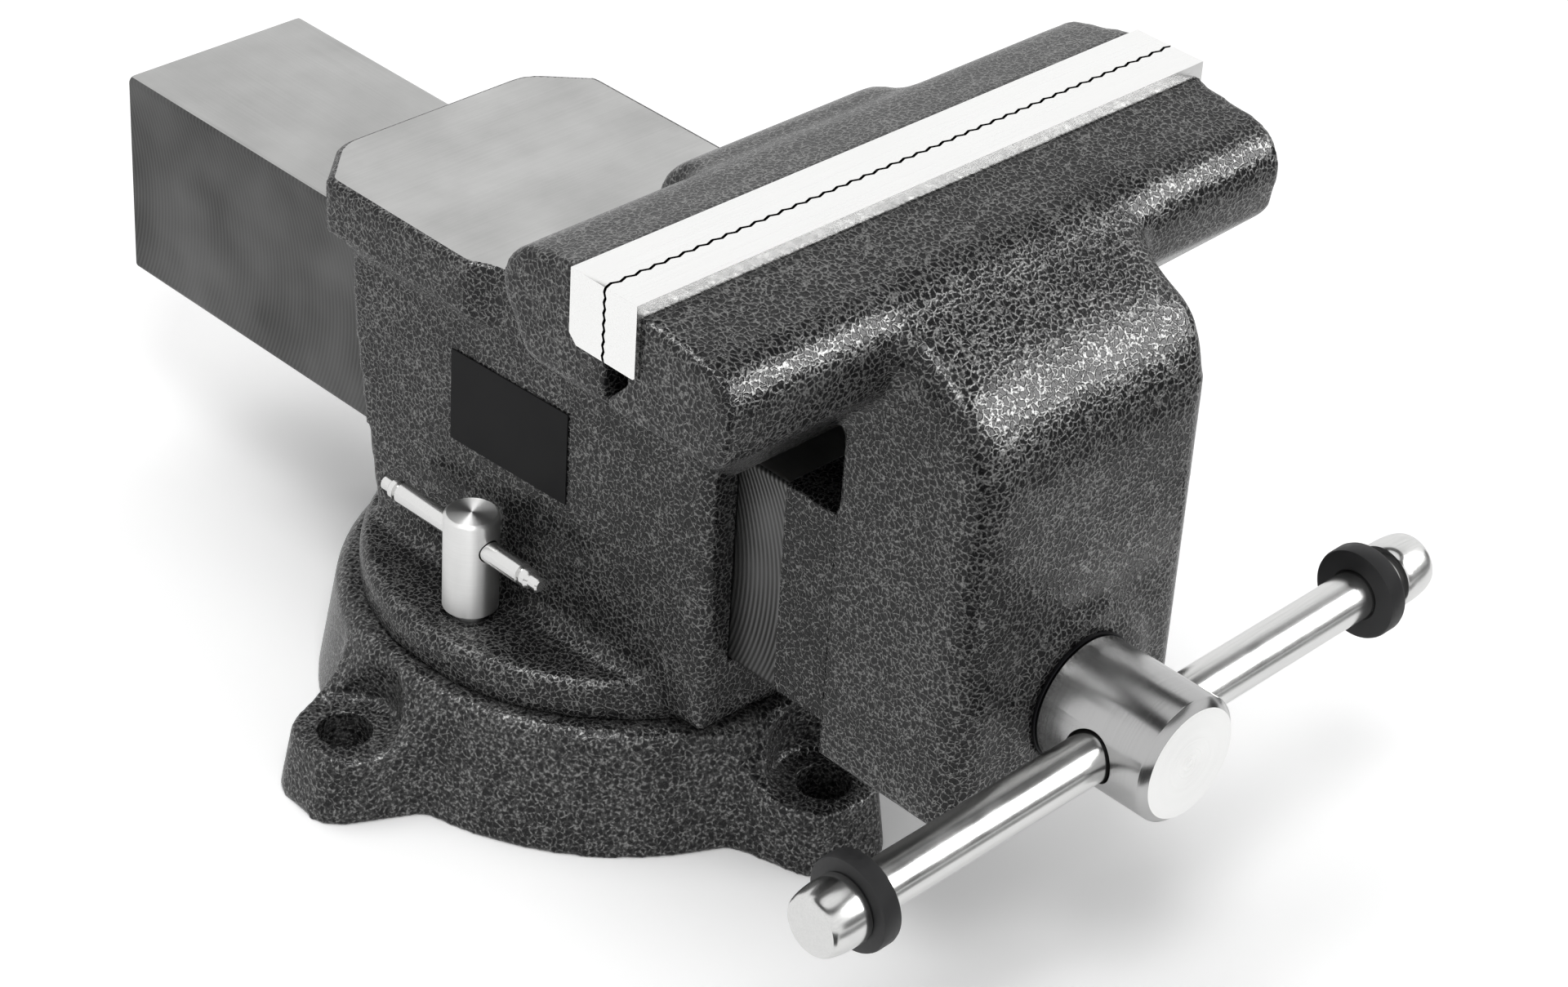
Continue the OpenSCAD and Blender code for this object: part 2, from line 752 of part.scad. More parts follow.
// The body's plan reaches back under the beam, where the side view ends it
module body_plan_long() {
    body_plan();
    translate([-body_x, body_back_y - cut, 0]) square([2 * body_x, body_back - web_back + cut]);
}

module slide_bar() {
    color(ground) difference() {
        along(root_y, bar_rear_y) translate([0, (bar_z0 + bar_z1) / 2]) rounded(bar_w, bar_h, bar_edge_r);
        translate([-hollow_x, root_y - cut, bar_z0 - cut])
            cube([2 * hollow_x, bar_rear_y - root_y + 2 * cut, hollow_z1 - bar_z0 + cut]);
    }
}

module front_plate() {
    color(bright) plate(-1);
}

module front_plate_screws() {
    plate_screws(-1);
}

// Spindle: chamfered head with a cross hole, journal, screw and plain tail
module spindle() {
    c = head_chamfer;
    color(bright) difference() {
        union() {
            shaft(head_d, head_front_y + c, head_back_y);
            translate([0, head_front_y, axis_z]) rotate([-90, 0, 0])
                cylinder(d1 = head_d - 2 * c, d2 = head_d, h = c);
            shaft(journal_d, head_back_y - cut, collar_y + collar_l);
            shaft(screw_d, collar_y, stop_y);
            shaft(tail_d, stop_y - cut, spindle_rear_y);
        }
        translate([0, rod_y, axis_z]) rotate([0, 90 - handle_tilt, 0])
            cylinder(d = rod_d + 2 * rod_gap, h = 2 * head_d, center = true);
        pin_hole(collar_y + collar_l / 2);
        pin_hole(stop_pin_y);
    }
}

thrust_lip = 0.5;
thrust_play = 0.02;
module thrust_washer() {
    color(black) difference() {
        shaft(head_d + 2 * thrust_lip, head_back_y, head_back_y + thrust_t - thrust_play);
        shaft(journal_d + 2 * turn_fit, head_back_y - cut, head_back_y + thrust_t + cut);
    }
}

// Cross hole for a pin, at the place y along the spindle
pin_fit = 0.01;
pin_short = 1;
stop_pin_y = stop_y + stop_t + pin_d;
module pin_hole(y) {
    translate([0, y, axis_z]) cylinder(d = pin_d, h = 2 * collar_d, center = true);
}

module collar() {
    color(ground) difference() {
        shaft(collar_d, collar_y, collar_y + collar_l);
        shaft(journal_d + 2 * seat_gap, collar_y - cut, collar_y + collar_l + cut);
        pin_hole(collar_y + collar_l / 2);
    }
}

module collar_pin() {
    color(bright) translate([0, collar_y + collar_l / 2, axis_z])
        cylinder(d = pin_d - 2 * pin_fit, h = collar_d - 2 * pin_short, center = true);
}

module stop_washer() {
    color(ground) difference() {
        shaft(stop_d, stop_y, stop_y + stop_t);
        shaft(tail_d + 2 * seat_gap, stop_y - cut, stop_y + stop_t + cut);
    }
}

module stop_pin() {
    color(bright) translate([0, stop_pin_y, axis_z])
        cylinder(d = pin_d - 2 * pin_fit, h = stop_d - 4 * pin_short, center = true);
}

// Places its children on the handle's axis, with X along the rod
module on_handle() {
    translate([0, rod_y, axis_z]) rotate([0, -handle_tilt, 0]) translate([-handle_shift, 0, 0]) children();
}

// A turned ring or cap: its half section spun about the rod's axis
module spun(x, side) {
    on_handle() translate([x, 0, 0]) rotate([0, side * 90, 0]) rotate_extrude() children();
}

cap_x = handle_l / 2 - cap_l;
module handle_rod() {
    color(bright) on_handle() rotate([0, 90, 0]) {
        cylinder(d = rod_d, h = 2 * cap_x, center = true);
        cylinder(d = stub_d, h = 2 * (cap_x + stub_l), center = true);
    }
}

// Domed end cap with a flat face and a bore for the rod's stub
cap_ease = 1;
cap_belly = 3;
stub_end_gap = 0.5;
module handle_cap(side) {
    r0 = cap_d / 2;
    r1 = cap_face_d / 2;
    color(bright) spun(side * cap_x, side) polygon(concat(
        [[stub_d / 2 + seat_gap, 0], [r0 - cap_ease, 0], [r0, cap_ease]],
        [for (i = [0 : 8]) let (a = 10 * i)
            [r1 + (r0 - r1) * cos(a), cap_belly + (cap_l - cap_belly) * sin(a) / sin(80)]],
        [[0, cap_l], [0, stub_l + stub_end_gap], [stub_d / 2 + seat_gap, stub_l + stub_end_gap]]));
}

ring_ease = 0.8;
module handle_ring(x, side) {
    e = ring_ease;
    r = ring_d / 2;
    color(black) spun(x, side) polygon([
        [rod_d / 2 + seat_gap, 0], [r - e, 0], [r, e], [r, ring_t - e], [r - e, ring_t],
        [rod_d / 2 + seat_gap, ring_t]
    ]);
}

module handle_cap_left() {
    handle_cap(-1);
}

module handle_cap_right() {
    handle_cap(1);
}

module handle_ring_left() {
    handle_ring(ring_t - cap_x, -1);
}

module handle_ring_right() {
    handle_ring(cap_x - ring_t - ring_slip, 1);
}

base();
clamp_disc();
fixed_jaw();
rear_plate();
rear_plate_screws();
nut();
nut_bolts();
side_plate();
lock_bolt_left();
lock_bolt_right();
lock_bar_left();
lock_bar_right();
sliding_jaw();
slide_bar();
front_plate();
front_plate_screws();
spindle();
thrust_washer();
collar();
collar_pin();
stop_washer();
stop_pin();
handle_rod();
handle_cap_left();
handle_cap_right();
handle_ring_left();
handle_ring_right();
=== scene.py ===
# %% [markdown]
# # A swivel bench vise, dressed for its portrait
#
# The construction of the vise is already done: every solid piece is loaded
# below at its real size, and nothing here moves or resizes it. This lesson
# gives the pieces their looks. A vise is mostly two kinds of surface: rough
# castings under hammered enamel, and steel that a machine has cut. So the
# castings are melted into one soft skin and then cut again where a machine
# would cut them, and the turned pieces are modelled as a turner would make
# them, with a small chamfer on every edge.

# %% Load the construction
import json
import math
import bpy
from mathutils import Matrix, Vector

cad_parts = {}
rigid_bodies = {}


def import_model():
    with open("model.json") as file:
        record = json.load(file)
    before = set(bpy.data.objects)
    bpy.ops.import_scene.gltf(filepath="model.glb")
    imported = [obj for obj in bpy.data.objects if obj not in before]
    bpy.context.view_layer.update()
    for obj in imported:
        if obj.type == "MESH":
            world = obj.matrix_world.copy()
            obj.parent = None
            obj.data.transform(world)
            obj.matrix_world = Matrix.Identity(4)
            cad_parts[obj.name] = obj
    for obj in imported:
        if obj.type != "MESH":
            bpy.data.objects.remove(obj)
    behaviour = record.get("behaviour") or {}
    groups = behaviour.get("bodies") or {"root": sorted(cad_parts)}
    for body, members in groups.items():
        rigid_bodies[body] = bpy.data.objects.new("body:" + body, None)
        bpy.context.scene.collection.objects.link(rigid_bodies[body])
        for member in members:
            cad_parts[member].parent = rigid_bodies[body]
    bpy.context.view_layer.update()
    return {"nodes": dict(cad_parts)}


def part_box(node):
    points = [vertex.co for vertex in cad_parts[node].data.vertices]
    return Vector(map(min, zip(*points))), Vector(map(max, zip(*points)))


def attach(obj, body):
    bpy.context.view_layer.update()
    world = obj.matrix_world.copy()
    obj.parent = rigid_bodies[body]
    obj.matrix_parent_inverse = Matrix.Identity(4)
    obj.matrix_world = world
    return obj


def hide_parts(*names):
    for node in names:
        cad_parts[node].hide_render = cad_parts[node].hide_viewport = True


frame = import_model()
MM = 0.001

# %% [markdown]
# ## Camera
#
# The photograph was taken from the front left and above, with a long lens, so
# the edges of the vise hardly converge. A camera can be placed by eye, but
# then every later comparison is a guess. So it stands where a fit to the
# straight edges of the photograph puts it, and it leans a few degrees.

# %% Camera
PHOTO_W = 1920
FOCAL_PX = 4839.3
SENSOR_MM = 36.0
CAMERA_AT = Vector((-640.15, -679.41, 682.65)) * MM
AZIMUTH = math.radians(-46.10)
ELEVATION = math.radians(33.45)
ROLL = math.radians(3.86)

lens = bpy.data.cameras.new("portrait_lens")
lens.sensor_width = SENSOR_MM
lens.sensor_fit = "HORIZONTAL"
lens.lens = FOCAL_PX / PHOTO_W * SENSOR_MM
camera = bpy.data.objects.new("camera", lens)
bpy.context.scene.collection.objects.link(camera)
facing = Matrix.Rotation(AZIMUTH, 4, "Z") @ Matrix.Rotation(math.pi / 2 - ELEVATION, 4, "X")
camera.matrix_world = Matrix.Translation(CAMERA_AT) @ facing @ Matrix.Rotation(ROLL, 4, "Z")
bpy.context.scene.camera = camera
print("lens", round(lens.lens, 1), "mm, distance", round(CAMERA_AT.length, 2), "m")

# %% [markdown]
# ## Selecting and shaping
#
# Operators work on whatever is selected, and the loaded pieces are selected
# at first. So each helper starts by deselecting everything. The helpers keep
# the cells below short: one picks a piece, one adds and applies a modifier,
# one adds a box or a drum, and one cuts a piece with another and leaves the
# finish of the cut behind.

# %% Helpers for modelling
ROUND_SIDES = 96
TURN_TO = {"X": (0, math.pi / 2, 0), "Y": (-math.pi / 2, 0, 0), "Z": (0, 0, 0)}


def pick(*pieces):
    """Selects these pieces only, the first one active."""
    bpy.ops.object.select_all(action="DESELECT")
    for piece in pieces:
        piece.select_set(True)
    bpy.context.view_layer.objects.active = pieces[0]


def modify(piece, kind, **settings):
    """Adds one modifier with its settings and applies it."""
    pick(piece)
    modifier = piece.modifiers.new(kind.lower(), kind)
    for key, value in settings.items():
        setattr(modifier, key, value)
    bpy.ops.object.modifier_apply(modifier=modifier.name)


def settle(piece, name):
    """Names a piece and writes its place into its mesh."""
    piece.name = name
    piece.data.name = name
    pick(piece)
    bpy.ops.object.transform_apply(location=True, rotation=True, scale=True)
    return piece


def box(name, low, high):
    """A box between two corners."""
    low, high = Vector(low), Vector(high)
    bpy.ops.object.select_all(action="DESELECT")
    bpy.ops.mesh.primitive_cube_add(size=1, location=(low + high) / 2)
    bpy.context.object.scale = high - low
    return settle(bpy.context.object, name)


def drum(name, at, radius, length, axis="Z"):
    """A closed cylinder centred on a point and lying along an axis."""
    bpy.ops.object.select_all(action="DESELECT")
    bpy.ops.mesh.primitive_cylinder_add(
        vertices=ROUND_SIDES, radius=radius, depth=length, location=at, rotation=TURN_TO[axis]
    )
    return settle(bpy.context.object, name)


def cut(piece, cutter, finish):
    """Cuts a piece with another, which is used up; the cut face takes the finish."""
    cutter.data.materials.append(finish)
    modify(piece, "BOOLEAN", operation="DIFFERENCE", object=cutter, solver="EXACT",
           material_mode="TRANSFER")
    bpy.data.objects.remove(cutter)


def triangles(piece):
    """How many triangles the faces of a piece come to."""
    return sum(len(face.vertices) - 2 for face in piece.data.polygons)


def dress(piece, body, slot, material, *nodes):
    """Puts a finished piece on its body in place of the named nodes."""
    if not piece.data.materials:
        piece.data.materials.append(material)
    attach(piece, body)
    if nodes:
        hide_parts(*nodes)
    print(piece.name, "on", body, "with", triangles(piece), "triangles")


# %% [markdown]
# ## Sizes
#
# The places that the dressing needs are read off the loaded pieces, so they
# can't drift from the construction. Typed numbers would be quicker to write,
# but wrong as soon as somebody changes a size there.

# %% Sizes from the construction
def low_of(node):
    """The lowest corner of a loaded piece."""
    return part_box(node)[0]


def high_of(node):
    """The highest corner of a loaded piece."""
    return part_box(node)[1]


def middle(node, axis):
    """The middle of a loaded piece along one axis."""
    return (getattr(low_of(node), axis) + getattr(high_of(node), axis)) / 2


def half(node, axis):
    """Half the size of a loaded piece along one axis, in mm."""
    return (getattr(high_of(node), axis) - getattr(low_of(node), axis)) / 2 / MM


SIDES = (("left", -1), ("right", 1))
BENCH_Z = low_of("base").z
JAW_TOP = high_of("rear_plate").z
PLATE_LOW = low_of("rear_plate").z
PLATE_BACK = high_of("rear_plate").y
PLATE_FRONT = low_of("front_plate").y
MEET_Y = (low_of("rear_plate").y + high_of("front_plate").y) / 2
BAR_LOW = low_of("slide_bar")
BAR_HIGH = high_of("slide_bar")
HEAD_FRONT = low_of("spindle").y
AXIS_Z = middle("spindle", "z")
LOCK_X = middle("lock_bolt_right", "x")
ANVIL_TOP = BAR_HIGH.z + 22 * MM
FLANGE_TOP = BENCH_Z + 49.5 * MM
print("in mm: jaw top", round(JAW_TOP / MM, 1), "meeting plane", round(MEET_Y / MM, 1),
      "spindle axis", round(AXIS_Z / MM, 1), "locks", round(LOCK_X / MM, 1))

# %% [markdown]
# ## Shader nodes in one line each
#
# Colours are picked as a screen shows them and turned to linear light once,
# in one function. A material is a tree of nodes, and wiring one by hand takes
# three lines a node. The helpers here add a node, set it, link what feeds it
# and hand back its output, so a finish reads like a sum.

# %% Helpers for materials
def colour(code):
    """Turns an sRGB hex colour to linear light."""
    parts = [int(code[i:i + 2], 16) / 255 for i in (1, 3, 5)]
    return tuple(p / 12.92 if p <= 0.04045 else ((p + 0.055) / 1.055) ** 2.4
                 for p in parts) + (1.0,)


def node(tree, kind, inputs=None, **settings):
    """Adds one shader node; inputs maps a socket to a value or to the output that feeds it."""
    made = tree.nodes.new("ShaderNode" + kind)
    for key, value in settings.items():
        setattr(made, key, value)
    for key, value in (inputs or {}).items():
        if isinstance(value, bpy.types.NodeSocket):
            tree.links.new(value, made.inputs[key])
        else:
            made.inputs[key].default_value = value
    return made


def place_in(tree):
    """The place on the piece, in metres."""
    return node(tree, "TexCoord").outputs["Object"]


def noise(tree, place, scale, detail=2.0):
    """Cloudy noise with about one lump in 1 / scale metres."""
    inputs = {"Vector": place, "Scale": scale, "Detail": detail}
    return node(tree, "TexNoise", inputs).outputs[0]


def sum_of(tree, operation, *values):
    """A sum on numbers."""
    return node(tree, "Math", dict(enumerate(values)), operation=operation).outputs[0]


def vector_sum(tree, operation, *values):
    """A sum on vectors that gives a vector."""
    made = node(tree, "VectorMath", dict(enumerate(values)), operation=operation)
    return made.outputs[0]


def measure(tree, operation, *values):
    """A sum on vectors that gives a number."""
    made = node(tree, "VectorMath", dict(enumerate(values)), operation=operation)
    return made.outputs["Value"]


def scaled(tree, vector, factor):
    """A vector times a number."""
    inputs = {0: vector, "Scale": factor}
    return node(tree, "VectorMath", inputs, operation="SCALE").outputs[0]


def remap(tree, value, low, high, to_low, to_high, **settings):
    """Carries a value from one range to another and holds it there."""
    inputs = {0: value, 1: low, 2: high, 3: to_low, 4: to_high}
    return node(tree, "MapRange", inputs, **settings).outputs[0]


def blend(tree, share, first, second):
    """Mixes two hex colours."""
    inputs = {0: share, 6: colour(first), 7: colour(second)}
    return node(tree, "Mix", inputs, data_type="RGBA").outputs[2]


def press(tree, height, strength, depth):
    """Turns a height into a bump of a depth in metres."""
    inputs = {"Height": height, "Strength": strength, "Distance": depth}
    return node(tree, "Bump", inputs).outputs[0]


def new_material(name):
    """A material with an empty tree."""
    material = bpy.data.materials.new(name)
    material.use_nodes = True
    material.node_tree.nodes.clear()
    return material, material.node_tree


def surface(tree, inputs):
    """Ends a material in one principled shader."""
    shader = node(tree, "BsdfPrincipled", inputs)
    node(tree, "OutputMaterial", {"Surface": shader.outputs[0]})
    print("finish of", len(tree.nodes), "nodes made")


# %% [markdown]
# ## Hammered enamel
#
# The castings wear a dark grey hammered enamel. Silicone in the paint pulls
# it into shallow dimples just under 2 mm wide while it is wet, and the
# aluminium flake gathers in the rims between them. The eye sees dark glossy
# dimples in a broken net of pale veins. A picture of paint would repeat and
# smear, so a cell texture gives the net: its distance to the nearest cell
# edge draws the veins and also presses the dimples. A noise about as coarse
# as the cells first bends the coordinates, so that no vein is straight. A
# slow noise makes the veins thicker in some places and lets the paint swell
# a little, and two fine ones break the veins up and scatter loose flakes.
# The base was sprayed thicker, so its veins run together into worms.

# %% Hammered enamel
# How many lumps of each noise fit in one dimple.
WANDER, PATCH, GRIT, FLECK = 0.8, 0.12, 2.2, 5.5
# How far the net is bent, and how wide the rim of a dimple is, in dimples.
VEIN_BEND, DISH_RIM = 1.5, 0.24
# Where the fleck noise begins and ends to turn pale, and how pale it gets.
FLECK_FROM, FLECK_TO, FLECK_SHARE = 0.60, 0.74, 0.35
# The veins are metal flake, and duller than the clear paint of the dimples.
FLAKE_METAL, DIMPLE_ROUGHNESS, VEIN_ROUGHNESS = 0.85, 0.20, 0.38


def hammered(name, dimple, veins, body, flake, broken, relief):
    """Enamel of one dimple width; veins are its thinnest and widest, as shares of that width."""
    material, tree = new_material(name)
    place = place_in(tree)
    wander = node(tree, "TexNoise",
                  {"Vector": place, "Scale": WANDER / dimple, "Detail": 3.0})
    off = vector_sum(tree, "SUBTRACT", wander.outputs["Color"], (0.5, 0.5, 0.5))
    bent = vector_sum(tree, "ADD", place, scaled(tree, off, VEIN_BEND * dimple))
    cells = node(tree, "TexVoronoi",
                 {"Vector": bent, "Scale": 1 / dimple, "Randomness": 1.0},
                 feature="DISTANCE_TO_EDGE").outputs[0]
    patch = noise(tree, place, PATCH / dimple)
    vein = remap(tree, cells, 0.0, remap(tree, patch, 0.35, 0.65, *veins), 1.0, 0.0)
    grit = noise(tree, place, GRIT / dimple, 3.0)
    net = sum_of(tree, "MULTIPLY", vein, remap(tree, grit, broken, broken + 0.22, 0.12, 1.0))
    fleck = remap(tree, noise(tree, place, FLECK / dimple), FLECK_FROM, FLECK_TO, 0.0, FLECK_SHARE)
    pale = sum_of(tree, "MAXIMUM", net, fleck)
    dish = remap(tree, cells, 0.0, DISH_RIM, 1.0, 0.0, interpolation_type="SMOOTHSTEP")
    rough = sum_of(tree, "MULTIPLY_ADD", grit, 0.25, dish)
    height = sum_of(tree, "MULTIPLY_ADD", patch, 2.0, rough)
    surface(tree, {
        "Base Color": blend(tree, pale, body, flake),
        "Metallic": sum_of(tree, "MULTIPLY", pale, FLAKE_METAL),
        "Roughness": remap(tree, pale, 0.0, 1.0, DIMPLE_ROUGHNESS, VEIN_ROUGHNESS),
        "Specular IOR Level": 0.25,
        "Normal": press(tree, height, 1.0, relief),
    })
    return material


enamel = hammered("hammered_enamel", dimple=1.75 * MM, veins=(0.09, 0.16),
                  body="#121213", flake="#8c8c8b", broken=0.36, relief=0.07 * MM)
enamel_thick = hammered("hammered_enamel_thick", dimple=1.9 * MM, veins=(0.17, 0.32),
                        body="#161617", flake="#959594", broken=0.44, relief=0.09 * MM)

# %% [markdown]
# ## Ground metal
#
# The anvil, the top of the slide bar and the jaw plates are ground flat and
# kept bright. Grinding leaves fine parallel scratches, too fine to see one by
# one, and cast iron shows faint cloudy stains through them. One scratch at a
# time would take millions of lines. So the scratches are a noise stretched a
# hundredfold along the cut; they change the roughness and press the surface
# by a few microns. A noise that isn't stretched gives plain machined metal.

# %% Ground metal
STAIN_SIZE = 26 * MM
# How far the roughness varies from line to line, down and up.
GLOSS_LESS, GLOSS_MORE = 0.03, 0.04


def scratches(tree, place, stretch, spacing):
    """A noise drawn out along the axis whose stretch is small."""
    lines = node(tree, "Mapping", {"Vector": place, "Scale": stretch})
    return noise(tree, lines.outputs[0], 1 / spacing, 3.0)


def bare_metal(tree, place, lines, light, dark, roughness, stain, extra=None, relief=0.012 * MM):
    """Ends a material as bare metal: cloudy colour, streaky gloss and fine lines."""
    cloud = remap(tree, noise(tree, place, 1 / STAIN_SIZE, 5.0), 0.3, 0.7, 0.0, stain)
    tone = sum_of(tree, "ADD", sum_of(tree, "MULTIPLY", lines, 0.30), cloud)
    surface(tree, {
        "Base Color": blend(tree, tone, light, dark),
        "Metallic": 1.0,
        "Roughness": remap(tree, lines, 0.3, 0.7, roughness - GLOSS_LESS, roughness + GLOSS_MORE),
        "Normal": press(tree, lines, 0.3, relief),
        **(extra or {}),
    })


def ground_metal(name, light, dark, stretch, roughness, stain=0.5, spacing=0.6 * MM):
    """Metal ground along one direction."""
    material, tree = new_material(name)
    place = place_in(tree)
    bare_metal(tree, place, scratches(tree, place, stretch, spacing), light, dark, roughness, stain)
    return material


# How the noise is stretched: drawn out across the vise, along it, or not at all.
ALONG_X = (0.01, 1.0, 1.0)
ALONG_Y = (1.0, 0.01, 1.0)
EVEN = (1.0, 1.0, 1.0)
ground_iron = ground_metal("ground_cast_iron", "#c8c8c7", "#aaaaa9", ALONG_X, 0.40, stain=0.7)
ground_bar = ground_metal("ground_bar_top", "#c6c6c5", "#acacab", ALONG_Y, 0.40, stain=0.6)
ground_steel = ground_metal("ground_jaw_steel", "#fcfcfb", "#f6f6f5", (0.012, 1.0, 1.0),
                            0.25, stain=0.25)
rough_iron = ground_metal("machined_cast_iron", "#8c8c8b", "#6a6a69", EVEN, 0.5, stain=0.6)
blackened = ground_metal("blackened_steel", "#2b2b2d", "#1c1c1e", EVEN, 0.42)

# %% [markdown]
# ## Milled sides of the bar
#
# A face mill about 130 mm across travels along the bar. Each turn of it
# leaves an arc, and the arcs lie a feed apart, like the scales of a fish seen
# edge on. Cutting them into the mesh would take a face for each, so they are
# pressed in by the material. The height of the lines is a sine of the
# distance along the bar, after the bow of the cutter has been added to it. A
# slow noise fades the marks, which only catch the eye in some places, and
# they are fainter towards the rear, where the housing has rubbed them. The
# real feed is nearer 1 mm; it is coarsened here so that the marks survive in
# a small picture.

# %% Milled iron
FEED = 1.6 * MM
MILL_R = 66 * MM
MILL_Z = AXIS_Z + 2 * MM
FRESH_TO, WORN_FROM = -85 * MM, 15 * MM

milled_iron, tree = new_material("milled_cast_iron")
place = place_in(tree)
axes = node(tree, "SeparateXYZ", {0: place})
rise = sum_of(tree, "SUBTRACT", axes.outputs["Z"], MILL_Z)
bow = sum_of(tree, "SUBTRACT", MILL_R * MILL_R, sum_of(tree, "MULTIPLY", rise, rise))
along = sum_of(tree, "ADD", axes.outputs["Y"], sum_of(tree, "SQRT", bow))
wave = sum_of(tree, "SINE", sum_of(tree, "MULTIPLY", along, 2 * math.pi / FEED))
slow = noise(tree, place, 1 / (34 * MM))
fresh = remap(tree, axes.outputs["Y"], FRESH_TO, WORN_FROM, 1.0, 0.25)
seen = sum_of(tree, "MULTIPLY", remap(tree, slow, 0.35, 0.6, 0.45, 1.0), fresh)
mark = sum_of(tree, "MULTIPLY", wave, seen)
surface(tree, {
    "Base Color": blend(tree, sum_of(tree, "MULTIPLY_ADD", mark, 0.55, slow), "#707070", "#383837"),
    "Metallic": 1.0,
    "Roughness": remap(tree, slow, 0.3, 0.7, 0.34, 0.46),
    "Normal": press(tree, mark, 0.6, 0.05 * MM),
})
print("milling marks every", round(FEED / MM, 2), "mm")

# %% [markdown]
# ## Turned steel
#
# A lathe tool leaves rings on a face and fine rings round a side. The finish
# therefore follows the distance from the axis of the piece. The rings also
# stretch the highlight across themselves, which draws the bright wedge on
# top of the lock bolt. A stretched noise can't do that, because its lines
# stay straight; an anisotropic shader can, once it knows which way lies
# across the rings.

# %% Turned metal
RING_SPACING, RING_RELIEF = 0.35 * MM, 0.0015 * MM


def turned_metal(name, axis, through, light, dark, roughness, stretch, stain=0.15):
    """Metal turned about an axis through a point."""
    material, tree = new_material(name)
    place = place_in(tree)
    arm = vector_sum(tree, "SUBTRACT", place, through)
    flat = vector_sum(tree, "MULTIPLY", arm, [1 - a for a in axis])
    radius = measure(tree, "LENGTH", flat)
    along = measure(tree, "DOT_PRODUCT", arm, axis)
    rings = node(tree, "CombineXYZ", {"X": radius, "Y": along}).outputs[0]
    lines = noise(tree, rings, 1 / RING_SPACING)
    ring_way = node(tree, "VectorTransform",
                    {0: vector_sum(tree, "CROSS_PRODUCT", axis, flat)},
                    vector_type="VECTOR", convert_from="OBJECT", convert_to="WORLD").outputs[0]
    out = node(tree, "NewGeometry").outputs["Normal"]
    across = vector_sum(tree, "NORMALIZE", vector_sum(tree, "CROSS_PRODUCT", out, ring_way))
    shine = {"Anisotropic": stretch, "Tangent": across}
    bare_metal(tree, place, lines, light, dark, roughness, stain, shine, RING_RELIEF)
    return material


AXIS_Y, AXIS_UP = (0, 1, 0), (0, 0, 1)
ON_SPINDLE = (0, 0, AXIS_Z)
spindle_steel = turned_metal("turned_spindle_steel", AXIS_Y, ON_SPINDLE, "#bababa", "#a6a6a5",
                             0.22, 0.5)
# Painted light: the flat front face of the head is a lighter copy of the same turned steel,
# brighter than the side only to stand in for the light falling on it.
spindle_face_painted_light = turned_metal("faced_spindle_steel", AXIS_Y, ON_SPINDLE, "#f4f4f3", "#e6e6e5",
                           0.24, 0.4)
bar_steel = turned_metal("turned_bar_steel", AXIS_Y, (0, 0, 0), "#e4e4e3", "#cececd", 0.20, 0.0)
bolt_steel = {
    side: turned_metal("turned_bolt_steel_" + side, AXIS_UP, (way * LOCK_X, 0, 0),
                       "#ededec", "#d8d8d7", 0.42, 0.88, stain=0.3)
    for side, way in SIDES
}

# %% [markdown]
# ## Chrome, rubber and the bare plate
#
# The handle is a ground rod with hard chrome: almost a mirror, with a slight
# haze. The stop rings are nitrile rubber: matt, and a little grey where they
# have been rubbed. The plate on the side is anodised aluminium in near
# black, left bare here. One flat colour would do for each at a distance, but
# looks like plastic from near, so a noise varies the colour and the gloss.

# %% Chrome
chrome, tree = new_material("hard_chrome")
place = place_in(tree)
haze = noise(tree, place, 1 / (9 * MM), 4.0)
rub = scratches(tree, place, (0.02, 1.0, 1.0), 0.5 * MM)
surface(tree, {
    "Base Color": blend(tree, rub, "#e4e4e3", "#cfcfce"),
    "Metallic": 1.0,
    "Roughness": remap(tree, haze, 0.3, 0.7, 0.19, 0.26),
})

# %% Rubber
rubber, tree = new_material("nitrile_rubber")
dust = noise(tree, place_in(tree), 1 / (1.6 * MM), 5.0)
surface(tree, {
    "Base Color": blend(tree, dust, "#171718", "#29292a"),
    "Roughness": remap(tree, dust, 0.3, 0.7, 0.48, 0.6),
    "Normal": press(tree, dust, 0.3, 0.06 * MM),
})

# %% Anodised plate
plate_black, tree = new_material("black_anodised_aluminium")
place = place_in(tree)
grain = noise(tree, place, 1 / (0.4 * MM), 3.0)
cloud = noise(tree, place, 1 / (18 * MM), 3.0)
tone = sum_of(tree, "MULTIPLY_ADD", grain, 0.5, cloud)
surface(tree, {
    "Base Color": blend(tree, tone, "#101011", "#181819"),
    "Roughness": remap(tree, cloud, 0.3, 0.7, 0.42, 0.54),
    "Specular IOR Level": 0.12,
    "Normal": press(tree, grain, 0.2, 0.02 * MM),
})

# %% [markdown]
# ## Castings
#
# A casting has no sharp edge: sand can't hold one. Only where a machine has
# cut it are its edges crisp. Bevels could round the edges one by one, but
# they fail where edges of different roundness run together. So each casting
# is made in the order of the foundry. A copy of the solid is filled where it is
# machined, melted into one skin by a voxel remesh, and smoothed, which rounds
# every edge and fills every corner. Where a fillet is fuller, its region is
# smoothed some more. Then the machined places are cut out again, and the cut
# faces take the bare metal of the cutter.

# %% Helpers for castings
MERGE = 0.002 * MM
# Cutters reach this far out and up, well past the vise.
FAR, SKY = 200 * MM, 300 * MM


def merged_copy(name, source):
    """A copy of a solid's mesh with its doubled points merged and flat faces joined."""
    pick(frame["nodes"][source])
    bpy.ops.object.duplicate()
    copy = bpy.context.object
    for key in list(copy.keys()):
        del copy[key]
    copy.parent = None
    copy.data.materials.clear()
    settle(copy, name)
    bpy.ops.object.mode_set(mode="EDIT")
    bpy.ops.mesh.select_all(action="SELECT")
    bpy.ops.mesh.remove_doubles(threshold=MERGE)
    bpy.ops.mesh.dissolve_limited(angle_limit=math.radians(0.5))
    bpy.ops.mesh.normals_make_consistent(inside=False)
    bpy.ops.object.mode_set(mode="OBJECT")
    return copy


